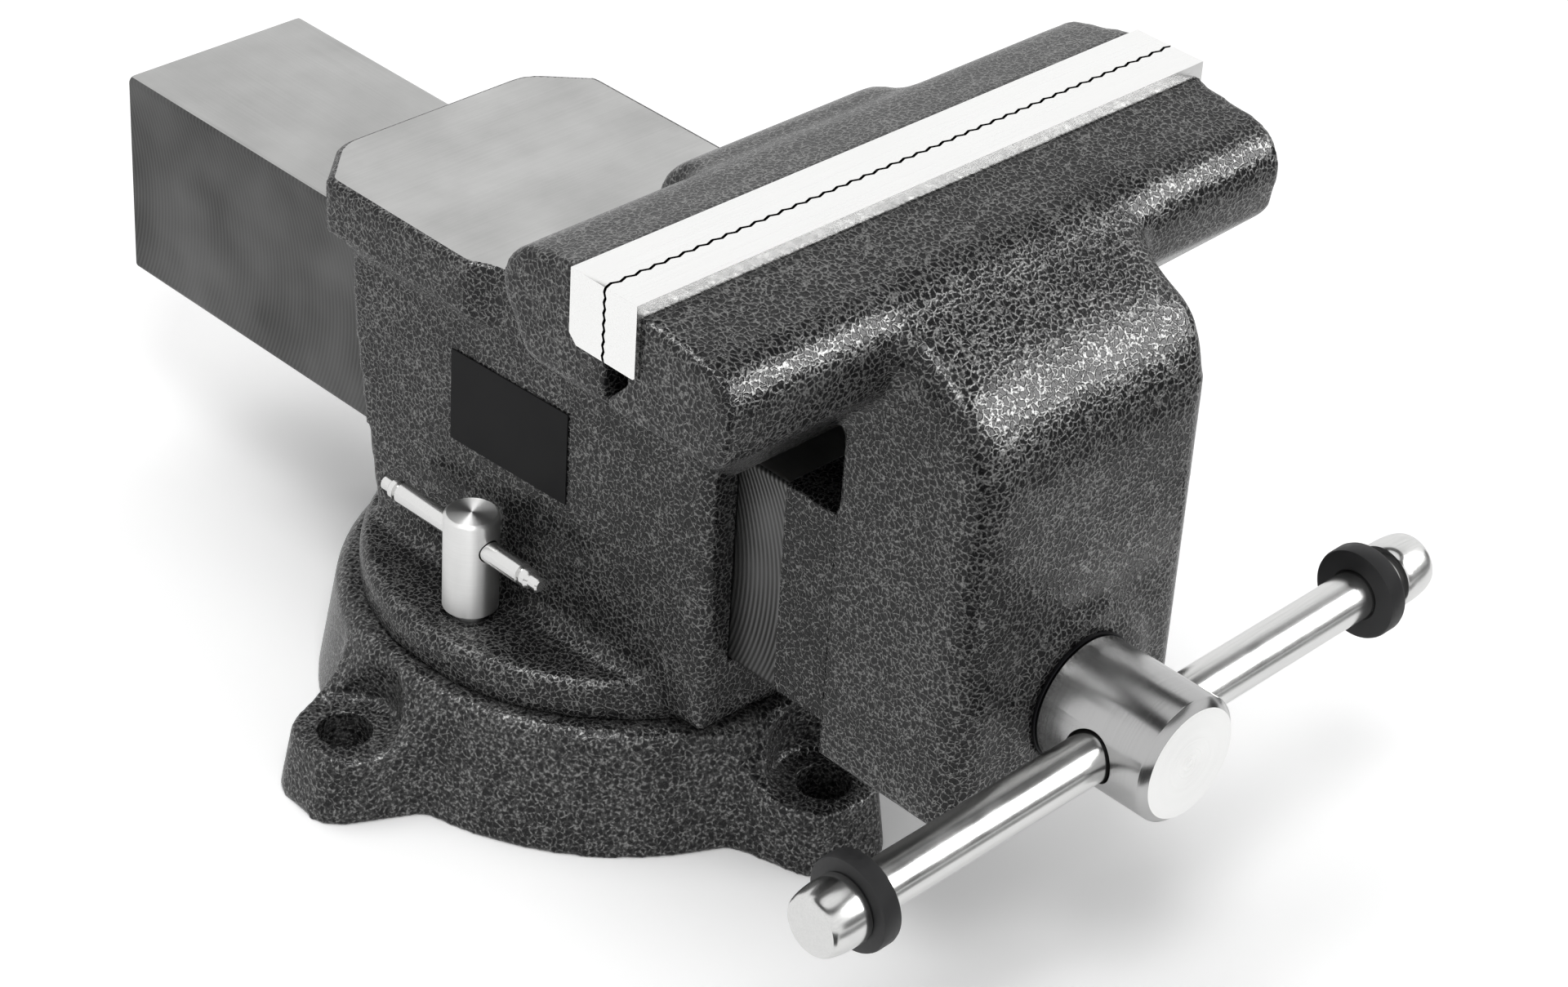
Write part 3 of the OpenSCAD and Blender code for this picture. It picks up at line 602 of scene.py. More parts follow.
def cast_blank(name, source, fillers, voxel, rounds, finish):
    """Melts a copy of a solid and its fillers into one skin with soft edges."""
    blank = merged_copy(name, source)
    pick(blank, *fillers)
    bpy.ops.object.join()
    modify(blank, "REMESH", mode="VOXEL", voxel_size=voxel, use_smooth_shade=True)
    modify(blank, "SMOOTH", factor=0.5, iterations=rounds)
    blank.data.materials.append(finish)
    return blank


def choose(piece, kind, passes):
    """Opens a piece for editing with those points (VERT) or edges (EDGE) selected that pass."""
    pick(piece)
    bpy.ops.object.mode_set(mode="EDIT")
    bpy.ops.mesh.select_mode(type=kind)
    bpy.ops.mesh.select_all(action="DESELECT")
    bpy.ops.object.mode_set(mode="OBJECT")
    for part in (piece.data.vertices if kind == "VERT" else piece.data.edges):
        part.select = passes(part)
    bpy.ops.object.mode_set(mode="EDIT")


def soften(piece, repeats, inside):
    """Smooths only the points for which inside is true, to widen a fillet."""
    choose(piece, "VERT", lambda point: inside(point.co))
    bpy.ops.mesh.vertices_smooth(factor=0.5, repeat=repeats)
    bpy.ops.object.mode_set(mode="OBJECT")


# %% [markdown]
# ## Base
#
# The base is a round foot with four lugs, cast in one piece. Its holes are
# filled for the casting and drilled afterwards, so that their edges stay
# sharp in the paint; left open, the smoothing would make funnels of them.

# %% Base
LUGS = 4
HOLE_R = 7.75 * MM
HOLE_CIRCLE = 94 * MM
LUG_TOP = 19.7 * MM
BASE_TURN = math.radians(-5)


def lug_points():
    """The middles of the four holes."""
    for i in range(LUGS):
        angle = BASE_TURN + i * 2 * math.pi / LUGS
        yield Vector((HOLE_CIRCLE * math.cos(angle), HOLE_CIRCLE * math.sin(angle), LUG_TOP / 2))


plugs = [drum("plug", p, HOLE_R + MM, LUG_TOP) for p in lug_points()]
base = cast_blank("base_casting", "base", plugs, 1.15 * MM, 10, enamel_thick)
for p in lug_points():
    cut(base, drum("drill", p, HOLE_R, 4 * LUG_TOP), enamel_thick)
dress(base, "stand", "casting", enamel_thick, "base")

# %% [markdown]
# ## Fixed jaw
#
# One casting holds the swivel flange, the housing, the anvil and the rear
# jaw. The fillets at the foot of the housing, the ends of the beam and the
# roll behind its top are fuller than the rest, so they are softened again.
# The bar's channel, the seat of the jaw plate and the anvil's top are
# machined.

# %% Fixed jaw
SLIDE_GAP = 0.35 * MM
CUT_PLAY = 0.05 * MM
CHANNEL_X = BAR_HIGH.x + SLIDE_GAP
HOUSE_FRONT, HOUSE_BACK = MEET_Y + 19 * MM, 44 * MM
BEAM_X = 98.5 * MM
# The regions that are softened: the ends of the beam and what lies between
# them, the foot of the housing, and the roll behind the jaw.
END_X, INNER_X = BEAM_X - 9 * MM, BEAM_X - 3 * MM
FOOT_LOW, FOOT_TOP, FOOT_R = FLANGE_TOP - 1.5 * MM, FLANGE_TOP + 9 * MM, 66 * MM
ROLL_Y, ROLL_Z = PLATE_BACK + 5 * MM, ANVIL_TOP + 12 * MM
ANVIL_FROM = -12 * MM

fillers = [
    box("fill", (-CHANNEL_X - MM, HOUSE_FRONT, BAR_LOW.z - MM),
        (CHANNEL_X + MM, HOUSE_BACK, BAR_HIGH.z + MM)),
    box("fill", (-BEAM_X, MEET_Y + 0.4 * MM, PLATE_LOW - MM),
        (BEAM_X, PLATE_BACK + 0.5 * MM, JAW_TOP - 0.2 * MM)),
]
fixed = cast_blank("fixed_jaw_casting", "fixed_jaw", fillers, 1.4 * MM, 5, enamel)
soften(fixed, 40, lambda p: FOOT_LOW < p.z < FOOT_TOP and p.xy.length < FOOT_R)
soften(fixed, 6, lambda p: abs(p.x) > END_X and p.y > ROLL_Y)
soften(fixed, 12, lambda p: abs(p.x) < INNER_X and p.y > ROLL_Y and p.z > ROLL_Z)
cut(fixed, box("mill", (-CHANNEL_X, -FAR, BAR_LOW.z - SLIDE_GAP),
               (CHANNEL_X, FAR, BAR_HIGH.z + SLIDE_GAP)), rough_iron)
cut(fixed, box("mill", (-FAR, -FAR, PLATE_LOW - CUT_PLAY),
               (FAR, PLATE_BACK + CUT_PLAY, SKY)), rough_iron)
cut(fixed, box("grind", (-FAR, ANVIL_FROM, ANVIL_TOP - 0.15 * MM), (FAR, FAR, SKY)), ground_iron)
dress(fixed, "housing", "casting", enamel, "fixed_jaw")

# %% [markdown]
# ## Sliding jaw
#
# The second casting carries the front jaw, the boss of the spindle and the
# painted root of the bar. Its brow, where the beam runs down into the body,
# is one wide slope in the photograph. It is softened most of all, because a
# bevel can't blend a beam into a body.

# %% Sliding jaw
ROOT_END = BAR_LOW.y
BODY_FRONT = low_of("sliding_jaw").y
# The regions that are softened: the beam, the front of the body apart from
# the middle of its foot, the slope before the plate, and the brow below it.
BEAM_Y, BEAM_Z = PLATE_FRONT - 3 * MM, BAR_HIGH.z + 10 * MM
FRONT_Y, FRONT_Z, SKIP_R = BODY_FRONT + 24 * MM, BAR_LOW.z + 8 * MM, 40 * MM
SLOPE_X, SLOPE_Y, SLOPE_Z = 48 * MM, PLATE_FRONT - 6 * MM, JAW_TOP - 26 * MM
BROW_Y, BROW_Z = BODY_FRONT + 26 * MM, JAW_TOP - 44 * MM

fillers = [
    box("fill", (-BEAM_X, PLATE_FRONT - 0.5 * MM, PLATE_LOW + MM),
        (BEAM_X, MEET_Y - 0.4 * MM, JAW_TOP - 4 * MM)),
    box("fill", (BAR_LOW.x, ROOT_END - 20 * MM, BAR_LOW.z),
        (BAR_HIGH.x, ROOT_END + 9 * MM, BAR_HIGH.z)),
]
sliding = cast_blank("sliding_jaw_casting", "sliding_jaw", fillers, 1.2 * MM, 4, enamel)
soften(sliding, 14, lambda p: abs(p.x) < INNER_X and p.y < BEAM_Y and p.z > BEAM_Z)
soften(sliding, 14, lambda p: p.y < FRONT_Y and FRONT_Z < p.z < BEAM_Z and p.xz.length > SKIP_R)
soften(sliding, 9, lambda p: abs(p.x) > END_X and p.y < BEAM_Y and p.z > BEAM_Z)
soften(sliding, 70, lambda p: abs(p.x) < SLOPE_X and p.y < SLOPE_Y and p.z > SLOPE_Z)
soften(sliding, 30, lambda p: abs(p.x) < SLOPE_X and p.y < BROW_Y and p.z > BROW_Z)
cut(sliding, box("mill", (-60 * MM, ROOT_END, 0), (60 * MM, 100 * MM, BAR_HIGH.z + 6 * MM)),
    rough_iron)
cut(sliding, box("mill", (-FAR, PLATE_FRONT - CUT_PLAY, PLATE_LOW - CUT_PLAY),
                 (FAR, 0, SKY)), rough_iron)
dress(sliding, "slide", "casting", enamel, "sliding_jaw")

# %% [markdown]
# ## Refined copies
#
# Some solids already have the right form and only lack what a file or a
# grinder gives them: an eased edge. Modelling them again would add nothing.
# Each of these is a merged copy of its solid with every edge sharper than
# about 30 degrees bevelled by a few tenths of a millimetre.

# %% Helpers for refined copies
def ease(piece, bevel, angle=30):
    """Bevels the sharp edges of a piece."""
    pick(piece)
    bpy.ops.object.shade_smooth_by_angle(angle=math.radians(angle))
    modify(piece, "BEVEL", width=bevel, segments=2, limit_method="ANGLE",
           angle_limit=math.radians(angle), use_clamp_overlap=True, harden_normals=True)
    return piece


def refined(name, source, bevel, angle=30):
    """A merged copy of a solid with its sharp edges eased."""
    return ease(merged_copy(name, source), bevel, angle)


def finish_faces(piece, finishes):
    """Gives each face the first finish whose test it passes; the last has no test."""
    for finish, _ in finishes:
        piece.data.materials.append(finish)
    for face in piece.data.polygons:
        for i, (_, test) in enumerate(finishes):
            if test is None or test(face):
                face.material_index = i
                break


# %% [markdown]
# ## Slide bar
#
# The bar is a casting machined on the outside. Its top is ground, its sides
# are milled, its ends and its bottom are machined plain and its hollow is left
# as cast. It stays one piece, as the real one is, and each face takes its
# finish by where it lies and which way it looks.

# %% Slide bar
HOLLOW_X = BAR_HIGH.x - 8 * MM
HOLLOW_Z = BAR_HIGH.z - 8 * MM
raw_iron = ground_metal("raw_cast_iron", "#4a4a4a", "#303030", EVEN, 0.6, 0.7, 1.5 * MM)


def is_top(face):
    """Whether a face belongs to the ground top."""
    return face.normal.z > 0.8 and face.center.z > BAR_HIGH.z - 2 * MM


def in_hollow(face):
    """Whether a face lies inside the bar."""
    return abs(face.center.x) < HOLLOW_X and face.center.z < HOLLOW_Z and abs(face.normal.y) < 0.5


bar = refined("slide_bar_ground", "slide_bar", 0.35 * MM)
finish_faces(bar, [
    (ground_bar, is_top),
    (raw_iron, in_hollow),
    (milled_iron, lambda face: abs(face.normal.x) > 0.5),
    (rough_iron, None),
])
dress(bar, "slide", "ground_iron", milled_iron, "slide_bar")

# %% [markdown]
# ## Jaw plates
#
# The plates are ground all over, apart from their teeth, which hold the dark
# oil of hardening. The teeth of the construction run straight down. Real ones
# are cut both ways, which leaves small pyramids, so the seam also zigzags
# down the ends. A bump would leave that seam straight, so the mesh itself
# changes. Each toothed face is split into levels, and every second level is
# set back: the even ones on the front plate and the odd ones on the rear
# plate. The outer bottom edge of each plate is rounded, much more on the rear
# one.

# %% Jaw plates
LEVELS = 14
STEP = (JAW_TOP - PLATE_LOW) / LEVELS
SET_BACK = 0.5 * MM
TOOTH_DEPTH = 1.5 * MM
TOUCH = 0.01 * MM
tooth_steel = ground_metal("oil_hardened_teeth", "#2f2f30", "#1c1c1d", EVEN, 0.45)


def cut_teeth(plate, inwards, first):
    """Splits the toothed face into levels and sets every second one back."""
    pick(plate)
    bpy.ops.object.mode_set(mode="EDIT")
    bpy.ops.mesh.select_mode(type="VERT")
    for i in range(1, LEVELS):
        bpy.ops.mesh.select_all(action="SELECT")
        bpy.ops.mesh.bisect(plane_co=(0, 0, PLATE_LOW + i * STEP), plane_no=(0, 0, 1))
    bpy.ops.object.mode_set(mode="OBJECT")
    choose(plate, "VERT", lambda point: abs(point.co.y - MEET_Y) < TOOTH_DEPTH
           and round((point.co.z - PLATE_LOW) / STEP) % 2 == first)
    bpy.ops.transform.translate(value=(0, inwards * SET_BACK, 0))
    bpy.ops.object.mode_set(mode="OBJECT")


def round_edge(piece, radius, y, z):
    """Rounds the edges that lie along one line across the vise."""
    points = piece.data.vertices
    choose(piece, "EDGE", lambda edge: all(
        abs(points[i].co.y - y) < TOUCH and abs(points[i].co.z - z) < TOUCH for i in edge.vertices))
    bpy.ops.mesh.bevel(offset=radius, segments=6, affect="EDGES")
    bpy.ops.object.mode_set(mode="OBJECT")


for name, source, inwards, first, outer, radius, body in (
        ("rear_jaw_plate", "rear_plate", 1, 1, PLATE_BACK, 2.6 * MM, "housing"),
        ("front_jaw_plate", "front_plate", -1, 0, PLATE_FRONT, 1.0 * MM, "slide")):
    plate = merged_copy(name, source)
    round_edge(plate, radius, outer, PLATE_LOW)
    cut_teeth(plate, inwards, first)
    ease(plate, 0.15 * MM)
    finish_faces(plate, [
        (tooth_steel, lambda face: inwards * face.normal.y < -0.6
         and abs(face.center.y - MEET_Y) < 2.5 * MM),
        (ground_steel, None),
    ])
    dress(plate, body, "jaw_steel", ground_steel, source)

# %% [markdown]
# ## Turning on the lathe
#
# The spindle, the lock bolts, the caps and the rings are round. A stack of
# cylinders would be quick, but has no chamfers. So each is drawn as half a
# section, point by point from one end to the other, and spun about its axis,
# which is what a lathe does. Every corner of a section has its chamfer drawn
# in.

# %% Helpers for turned pieces
ALONG = {"X": Vector((1, 0, 0)), "Y": Vector((0, 1, 0)), "Z": Vector((0, 0, 1))}
OUT = {"X": Vector((0, 0, 1)), "Y": Vector((1, 0, 0)), "Z": Vector((1, 0, 0))}
FINE_SIDES = 128


def draw(points):
    """Starts a mesh with one line through points; its origin is the world's."""
    bpy.ops.object.select_all(action="DESELECT")
    bpy.ops.mesh.primitive_plane_add(size=MM, location=(0, 0, 0))
    bpy.ops.object.mode_set(mode="EDIT")
    bpy.ops.mesh.select_all(action="SELECT")
    bpy.ops.mesh.merge(type="CENTER")
    bpy.ops.transform.translate(value=points[0])
    for start, end in zip(points, points[1:]):
        bpy.ops.mesh.extrude_region_move(TRANSFORM_OT_translate={"value": end - start})
    return bpy.context.object


def close_skin(angle):
    """Leaves edit mode with every face looking out, and smooth where faces meet flatly."""
    bpy.ops.mesh.select_all(action="SELECT")
    bpy.ops.mesh.normals_make_consistent(inside=False)
    bpy.ops.object.mode_set(mode="OBJECT")
    bpy.ops.object.shade_smooth_by_angle(angle=math.radians(angle))


def turned(name, axis, at, section, steps=ROUND_SIDES):
    """Spins a half section of (radius, distance along) in mm about an axis through a point."""
    at = Vector(at)
    points = [at + OUT[axis] * r * MM + ALONG[axis] * d * MM for r, d in section]
    piece = draw(points)
    bpy.ops.mesh.select_all(action="SELECT")
    bpy.ops.mesh.spin(steps=steps, angle=2 * math.pi, center=at, axis=ALONG[axis])
    bpy.ops.mesh.select_all(action="SELECT")
    bpy.ops.mesh.remove_doubles(threshold=MERGE)
    close_skin(35)
    return settle(piece, name)


# %% [markdown]
# ## Spindle
#
# The head is turned, chamfered and cross drilled for the handle. Behind it
# the journal runs in the sliding jaw, and from the collar on the spindle is a
# screw with a trapezoid thread of 6 mm pitch. A thread can be faked with
# rings, but then it has no lead. Here one tooth is drawn once and wound round
# the axis.

# %% Spindle
HEAD_R = half("spindle", "x")
HEAD_LONG = (low_of("thrust_washer").y - HEAD_FRONT) / MM
COLLAR_TO = (high_of("collar").y - HEAD_FRONT) / MM
STOP_FROM = (low_of("stop_washer").y - HEAD_FRONT) / MM
SPINDLE_END = (high_of("spindle").y - HEAD_FRONT) / MM
JOURNAL_R, CREST_R, ROOT_R, TAIL_R = 14, 13, 10.4, 9
ROD_Y = middle("handle_rod", "y")
ROD_R = half("handle_rod", "y")
ROD_PLAY = 0.8
TILT = math.radians(1.8)
ON_FACE = (0, HEAD_FRONT, AXIS_Z)


def tilt(piece):
    """Turns a piece about the axis of the spindle, to where the handle hangs."""
    pick(piece)
    bpy.ops.transform.rotate(value=TILT, orient_axis="Y", center_override=(0, ROD_Y, AXIS_Z))
    return settle(piece, piece.name)


head = turned("spindle_head", "Y", ON_FACE, [
    (0, 0), (HEAD_R - 2.1, 0), (HEAD_R - 0.1, 2.0), (HEAD_R, 2.3), (HEAD_R, HEAD_LONG - 0.5),
    (HEAD_R - 0.5, HEAD_LONG), (JOURNAL_R, HEAD_LONG), (JOURNAL_R, COLLAR_TO - 0.8),
    (CREST_R, COLLAR_TO), (ROOT_R, COLLAR_TO), (ROOT_R, COLLAR_TO + 1), (0, COLLAR_TO + 1),
], FINE_SIDES)
finish_faces(head, [
    # Painted light: the front face takes the lighter copy of the steel and the side keeps the
    # darker one.
    (spindle_face_painted_light, lambda face: face.normal.y < -0.95 and face.center.y < HEAD_FRONT + 0.5 * MM),
    (spindle_steel, None),
])
drill = drum("drill", (0, ROD_Y, AXIS_Z), (ROD_R + ROD_PLAY) * MM, 80 * MM, "X")
cut(head, tilt(drill), rough_iron)
tail = turned("spindle_tail", "Y", ON_FACE, [
    (0, STOP_FROM - 1), (ROOT_R, STOP_FROM - 1), (CREST_R - 0.5, STOP_FROM), (TAIL_R, STOP_FROM),
    (TAIL_R, SPINDLE_END - 1), (TAIL_R - 1, SPINDLE_END), (0, SPINDLE_END),
])
print("spindle", round(SPINDLE_END, 1), "mm long, head", round(2 * HEAD_R, 1), "mm across")

# %% Thread
PITCH = 6.0
FLAT, FLANK = 1.6, 1.1
THREAD_FROM = COLLAR_TO - 0.5
tooth = [(ROOT_R, 0), (ROOT_R, FLAT), (CREST_R, FLAT + FLANK), (CREST_R, PITCH - FLANK),
         (ROOT_R, PITCH)]
thread = draw([Vector((r * MM, THREAD_FROM * MM + d * MM, 0)) for r, d in tooth])
bpy.ops.object.mode_set(mode="OBJECT")
turns = int((STOP_FROM - COLLAR_TO) / PITCH)
modify(thread, "SCREW", axis="Y", screw_offset=PITCH * MM, iterations=turns, angle=2 * math.pi,
       steps=40, use_merge_vertices=True, merge_threshold=MERGE, use_smooth_shade=True)
thread.location = ON_FACE
settle(thread, "thread")
bpy.ops.object.mode_set(mode="EDIT")
close_skin(25)
for piece in (tail, thread):
    piece.data.materials.append(spindle_steel)
pick(head, tail, thread)
bpy.ops.object.join()
settle(head, "spindle_turned")
print(turns, "turns of thread")
dress(head, "screw", "bright_steel", spindle_steel, "spindle")

# %% [markdown]
# ## Rings on the spindle
#
# A dark washer sits behind the head. Inside the jaw, a collar pulls the
# casting back, and a stop washer ends the screw; each is held by a pin. Their
# solids are right as they are, so they are refined copies.

# %% Rings on the spindle
for name, source, finish, slot in (
        ("thrust_washer_eased", "thrust_washer", blackened, "dark_steel"),
        ("collar_eased", "collar", rough_iron, "bright_steel"),
        ("stop_washer_eased", "stop_washer", rough_iron, "bright_steel")):
    dress(refined(name, source, 0.3 * MM), "screw", slot, finish, source)

# %% [markdown]
# ## Handle
#
# A chromed rod slides through the head. A cap is screwed on each end and
# polished to a dome with a flat face, and a rubber ring in front of each cap
# quiets the rod when it drops. Turning a tilted piece is awkward, so the
# handle is turned lying level on the axis of the spindle, and then tilted as
# it hangs in the photograph.

# %% Handle
CAP_R = half("handle_cap_left", "y")
RING_R = half("handle_ring_left", "y")
FACE_R = 7.5
CAP_LONG, CAP_RIM = 12.0, 3.0
DOME_TURN, DOME_STEPS = 80, 8
RING_THICK = 6.0
RING_SLIP = {"left": 0, "right": 5.5}
HANDLE_LONG = 224.0
HANDLE_AT = (-2.0 * MM, ROD_Y, AXIS_Z)
CAP_FROM = HANDLE_LONG / 2 - CAP_LONG


def dome():
    """The cap's outline from its widest point to the edge of its flat face."""
    height = (CAP_LONG - CAP_RIM) / math.sin(math.radians(DOME_TURN))
    for i in range(DOME_STEPS + 1):
        angle = math.radians(DOME_TURN / DOME_STEPS * i)
        yield FACE_R + (CAP_R - FACE_R) * math.cos(angle), CAP_RIM + height * math.sin(angle)


def on_handle(name, start, way, section, finish, slot, node_name):
    """Turns one piece of the handle, from a distance along it outwards, and tilts it."""
    piece = turned(name, "X", HANDLE_AT, [(r, way * (start + d)) for r, d in section], FINE_SIDES)
    dress(tilt(piece), "handle", slot, finish, node_name)


# Each section runs along the handle, away from its middle.
cap = [(ROD_R - 1, 0), (CAP_R - 0.9, 0), (CAP_R - 0.3, 0.3), (CAP_R, 0.9), *dome(), (0, CAP_LONG)]
half_ring = [(ROD_R + 0.05, 0.6), (ROD_R + 0.6, 0), (RING_R - 0.9, 0), (RING_R - 0.25, 0.3),
             (RING_R, 1.0)]
ring = half_ring + [(r, RING_THICK - d) for r, d in reversed(half_ring)] + half_ring[:1]
on_handle("handle_rod_chromed", 0, 1, [
    (0, -CAP_FROM), (ROD_R, -CAP_FROM), (ROD_R, CAP_FROM), (0, CAP_FROM),
], chrome, "chrome", "handle_rod")
for side, way in SIDES:
    on_handle("handle_cap_" + side + "_polished", CAP_FROM, way, cap,
              chrome, "chrome", "handle_cap_" + side)
    on_handle("handle_ring_" + side + "_rubber", CAP_FROM - RING_THICK - RING_SLIP[side], way, ring,
              rubber, "rubber", "handle_ring_" + side)

# %% [markdown]
# ## Swivel locks
#
# A turned bolt on each side clamps the swivel, and a short bar through its
# head turns it. The bar is grooved near each end and stepped down, and its
# tips are staked so that it can't fall out of the bolt. The grooves are drawn
# in the section, where a texture would leave the bar's outline straight.

# %% Swivel locks
BOLT_R = half("lock_bolt_left", "x")
BOLT_TOP = high_of("lock_bolt_left").z / MM
BOLT_LOW = low_of("lock_bolt_left").z / MM
HEAD_LOW = FLANGE_TOP / MM + 0.3
SHANK_R = 5.0
BAR_R = half("lock_bar_left", "x")
BAR_PLAY = 0.3
BAR_Z = middle("lock_bar_left", "z")

bolt_section = [
    (0, BOLT_LOW), (SHANK_R - 0.8, BOLT_LOW), (SHANK_R, BOLT_LOW + 0.8), (SHANK_R, HEAD_LOW),
    (BOLT_R - 0.6, HEAD_LOW), (BOLT_R, HEAD_LOW + 0.5), (BOLT_R, BOLT_TOP - 1.1),
    (BOLT_R - 0.25, BOLT_TOP - 0.5), (BOLT_R - 0.9, BOLT_TOP), (0, BOLT_TOP),
]
bar_end = [
    (0, 0), (1.6, 0), (2.1, 0.5), (2.1, 3.4), (2.3, 3.6), (BAR_R - 0.5, 4.0), (BAR_R - 0.15, 4.3),
    (BAR_R - 0.15, 6.0), (BAR_R - 0.9, 6.3), (BAR_R - 0.9, 7.1), (BAR_R, 7.5),
]
for side, way in SIDES:
    bolt = turned("lock_bolt_" + side + "_turned", "Z", (way * LOCK_X, 0, 0), bolt_section)
    bolt.data.materials.append(bolt_steel[side])
    through = (way * LOCK_X, 0, BAR_Z)
    cut(bolt, drum("drill", through, (BAR_R + BAR_PLAY) * MM, 40 * MM, "Y"), rough_iron)
    dress(bolt, side + "_bolt", "bright_steel", bolt_steel[side], "lock_bolt_" + side)
    near, far = low_of("lock_bar_" + side).y / MM, high_of("lock_bar_" + side).y / MM
    section = [(r, near + d) for r, d in bar_end] + [(r, far - d) for r, d in reversed(bar_end)]
    grip = turned("lock_bar_" + side + "_turned", "Y", through, section)
    dress(grip, side + "_bar", "bright_steel", bar_steel, "lock_bar_" + side)

# %% [markdown]
# ## Plate on the side
#
# The real one is printed. This one is left bare: a thin dark plate with
# eased edges, glued to the housing.

# %% Plate on the side
dress(refined("side_plate_eased", "side_plate", 0.15 * MM, 40),
      "housing", "blank_plate", plate_black, "side_plate")

# %% [markdown]
# ## Hidden pieces
#
# The clamp disc, the nut, the bolts, the screws and the pins are only seen
# from below or when the vise is open. Their solids are right as they are, so
# nothing replaces them, and they take the finish of machined iron or
# blackened steel.

# %% Hidden pieces
KEPT = {
    "clamp_disc": rough_iron, "nut": rough_iron, "nut_bolts": blackened,
    "rear_plate_screws": blackened, "front_plate_screws": blackened, "collar_pin": blackened,
    "stop_pin": blackened,
}
for name, finish in KEPT.items():
    kept = frame["nodes"][name]
    for slot in kept.material_slots:
        slot.material = finish
    if not kept.material_slots:
        kept.data.materials.append(finish)
print("kept as built:", ", ".join(KEPT))

# %% [markdown]
# ## Studio
#
# The photograph shows the vise on white, lit softly from all round. The world
# is white to the camera and in reflections, and dimmer as a light, so that
# colours come out as they are written. A light path node tells the two apart.

# %% World
SKY_LIGHT = 0.50
world = bpy.data.worlds.new("white_studio")
bpy.context.scene.world = world
world.use_nodes = True
tree = world.node_tree
tree.nodes.clear()
ray = node(tree, "LightPath")
mirrored = sum_of(tree, "MAXIMUM", ray.outputs["Is Glossy Ray"], ray.outputs["Is Transmission Ray"])
seen = sum_of(tree, "MAXIMUM", ray.outputs["Is Camera Ray"], mirrored)
sky = node(tree, "Background", {
    "Color": (1, 1, 1, 1), "Strength": remap(tree, seen, 0.0, 1.0, SKY_LIGHT, 1.0)})
node(tree, "OutputWorld", {"Surface": sky.outputs[0]})
print("sky: white where it is seen,", SKY_LIGHT, "as a light")

# %% [markdown]
# The floor is a sheet of white paper. It keeps the shadow, and it is a little
# brighter to the eye and in mirrors than it is as a light, so that it meets
# the white of the sky. A large sheet shows a grey horizon and a small one
# shows its corners, so a large one turns into the white of the backdrop
# between 0.7 and 1.2 m from the vise.

# %% Floor
FLOOR_LIGHT, FLOOR_SEEN, MIRROR_SHARE = 0.80, 1.27, 0.55
FADE_FROM, FADE_TO = 0.7, 1.2
bpy.ops.object.select_all(action="DESELECT")
bpy.ops.mesh.primitive_plane_add(size=8, location=(0, 0, BENCH_Z - 0.1 * MM))
floor = bpy.context.object
floor.name = "studio_floor"
paper, tree = new_material("white_paper")
place = place_in(tree)
ray = node(tree, "LightPath")
by_camera = ray.outputs["Is Camera Ray"]
mirrored = sum_of(tree, "MAXIMUM", ray.outputs["Is Glossy Ray"], ray.outputs["Is Transmission Ray"])
seen = sum_of(tree, "MULTIPLY_ADD", mirrored, MIRROR_SHARE, by_camera)
lift = remap(tree, seen, 0.0, 1.0, FLOOR_LIGHT, FLOOR_SEEN)
fibre = blend(tree, noise(tree, place, 1 / (2 * MM)), "#ffffff", "#fcfcfc")
paint = node(tree, "BsdfDiffuse", {"Color": scaled(tree, fibre, lift)})
backdrop = node(tree, "Emission", {"Color": (1, 1, 1, 1)})
away = remap(tree, measure(tree, "LENGTH", place), FADE_FROM, FADE_TO, 0.0, 1.0)
away = sum_of(tree, "MULTIPLY", away, sum_of(tree, "MAXIMUM", mirrored, by_camera))
both = node(tree, "MixShader", {0: away, 1: paint.outputs[0], 2: backdrop.outputs[0]})
node(tree, "OutputMaterial", {"Surface": both.outputs[0]})
floor.data.materials.append(paper)
print("floor fades to white from", FADE_FROM, "to", FADE_TO, "m")

# %% [markdown]
# Bright metal needs something dark to mirror, or it looks like paper. A
# photographer sets up black cards for that. One card here is a ring high
# above the vise. One lies on the table in front of the vise on the left, and
# draws the black lines down the rounded corners of the castings. A low one
# stands far off on the right, and a grey one lies before it, so the front
# faces of the castings stay dark. Only reflections see the cards, so they
# cast no shadow and take no light away.

# %% Cards
RING_AT = (0.15, -0.25, 1.3)
RING_INNER, RING_GROWTH = 0.45, 2.15
CARD_Z = 5 * MM


def card(name, at, size, turn=(0, 0, 0)):
    """A flat card of a size in metres."""
    bpy.ops.mesh.primitive_plane_add(size=1, location=at, rotation=turn)
    bpy.context.object.scale = (*size, 1)
    return settle(bpy.context.object, name)


def felt(name, shade):
    """Felt that reflections see in one even shade."""
    material, tree = new_material(name)
    paint = node(tree, "Emission", {"Color": colour(shade)})
    node(tree, "OutputMaterial", {"Surface": paint.outputs[0]})
    return material


bpy.ops.object.select_all(action="DESELECT")
bpy.ops.mesh.primitive_circle_add(
    vertices=64, radius=RING_INNER, fill_type="NOTHING", location=RING_AT)
bpy.ops.object.mode_set(mode="EDIT")
bpy.ops.mesh.extrude_region()
bpy.ops.transform.resize(value=(RING_GROWTH, RING_GROWTH, 1), center_override=RING_AT)
bpy.ops.object.mode_set(mode="OBJECT")
ring_card = settle(bpy.context.object, "black_card_above")
front_card = card("black_card_in_front", (-0.67, -0.80, CARD_Z), (1.1, 1.05))
right_card = card("black_card_on_the_right", (0.78, -0.83, 0.20), (1.7, 0.40),
                  (math.radians(90), 0, math.radians(43.2)))
grey_card = card("grey_card_on_the_right", (0.45, -0.50, CARD_Z), (1.1, 0.28))
black_felt = felt("black_felt", "#3a3a3a")
grey_felt = felt("grey_felt", "#868686")
for piece in (ring_card, front_card, right_card, grey_card):
    piece.data.materials.append(grey_felt if piece is grey_card else black_felt)
    piece.visible_camera = False
    piece.visible_diffuse = False
    piece.visible_shadow = False
    piece.visible_transmission = False
print("four cards set up")

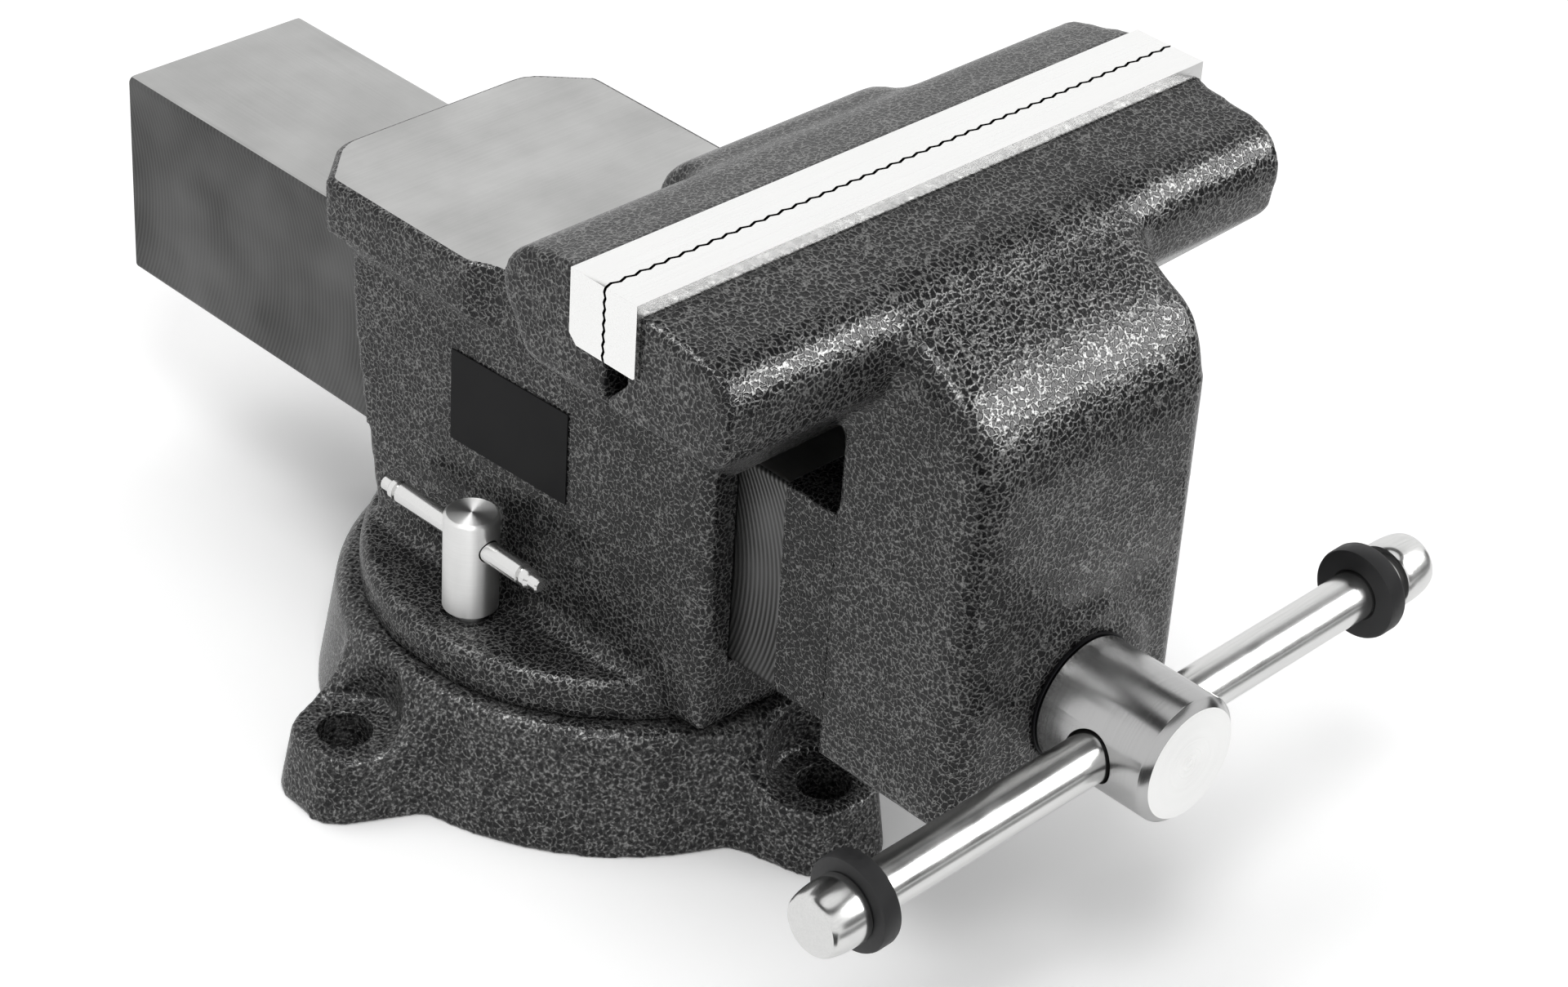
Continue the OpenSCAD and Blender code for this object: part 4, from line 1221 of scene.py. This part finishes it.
# %% [markdown]
# One lamp strong enough to draw a bright band on dark enamel burns a ground
# top out to plain white. So the lamps come in two kinds. The three fills
# light everything, but no reflection shows them. The boxes only show in
# reflections, and light linking gives each a group of pieces: the one on the
# front right draws the bands on the brow, the beam and the handle, and the
# two above draw the rims of the castings and the wedges on the locks.

# %% Lamps
AIM_AT = Vector((0, -40, 110)) * MM


def receivers(name, *pieces):
    """A group of pieces that a lamp is linked to."""
    group = bpy.data.collections.new(name)
    for piece in pieces:
        group.objects.link(piece)
    return group


def softbox(name, towards, distance, size, power, group=None):
    """An area lamp that faces the vise; with a group it only draws highlights on that group."""
    light = bpy.data.lights.new(name, "AREA")
    light.shape = "RECTANGLE"
    light.size, light.size_y = size
    light.energy = power
    lamp = bpy.data.objects.new(name, light)
    bpy.context.scene.collection.objects.link(lamp)
    towards = Vector(towards).normalized()
    lamp.location = AIM_AT + towards * distance
    lamp.rotation_euler = towards.to_track_quat("Z", "Y").to_euler()
    lamp.visible_glossy = group is not None
    lamp.visible_diffuse = group is None
    lamp.light_linking.receiver_collection = group
    print(name, power, "W")


def finished(*endings):
    """The finished pieces whose names end so."""
    return [piece for piece in bpy.data.objects if piece.name.endswith(endings)]


handle_pieces = finished("_chromed", "_polished")
front_group = receivers("front_castings_and_handle", base, sliding, *handle_pieces)
top_group = receivers("castings_and_locks", *finished("_casting", "_left_turned", "_right_turned"))
# Name, where it stands, how far off and how large in metres, watts, group.
softbox("front_right_fill", (0.60, -0.70, 0.34), 1.4, (0.80, 0.60), 3.5)
softbox("over_camera_fill", (-0.38, -0.40, 0.82), 1.3, (0.40, 0.40), 4.5)
softbox("overhead_fill", (-0.10, 0.25, 1.0), 1.5, (1.2, 0.9), 7)
softbox("front_right_box", (0.60, -0.66, 0.44), 1.4, (0.80, 0.84), 21, front_group)
softbox("over_camera_box", (-0.30, -0.38, 0.86), 1.3, (0.60, 0.32), 8.5, top_group)
softbox("top_strip", (-0.15, 0.25, 0.95), 1.1, (0.55, 0.30), 5, top_group)
bpy.context.scene.view_settings.view_transform = "Standard"
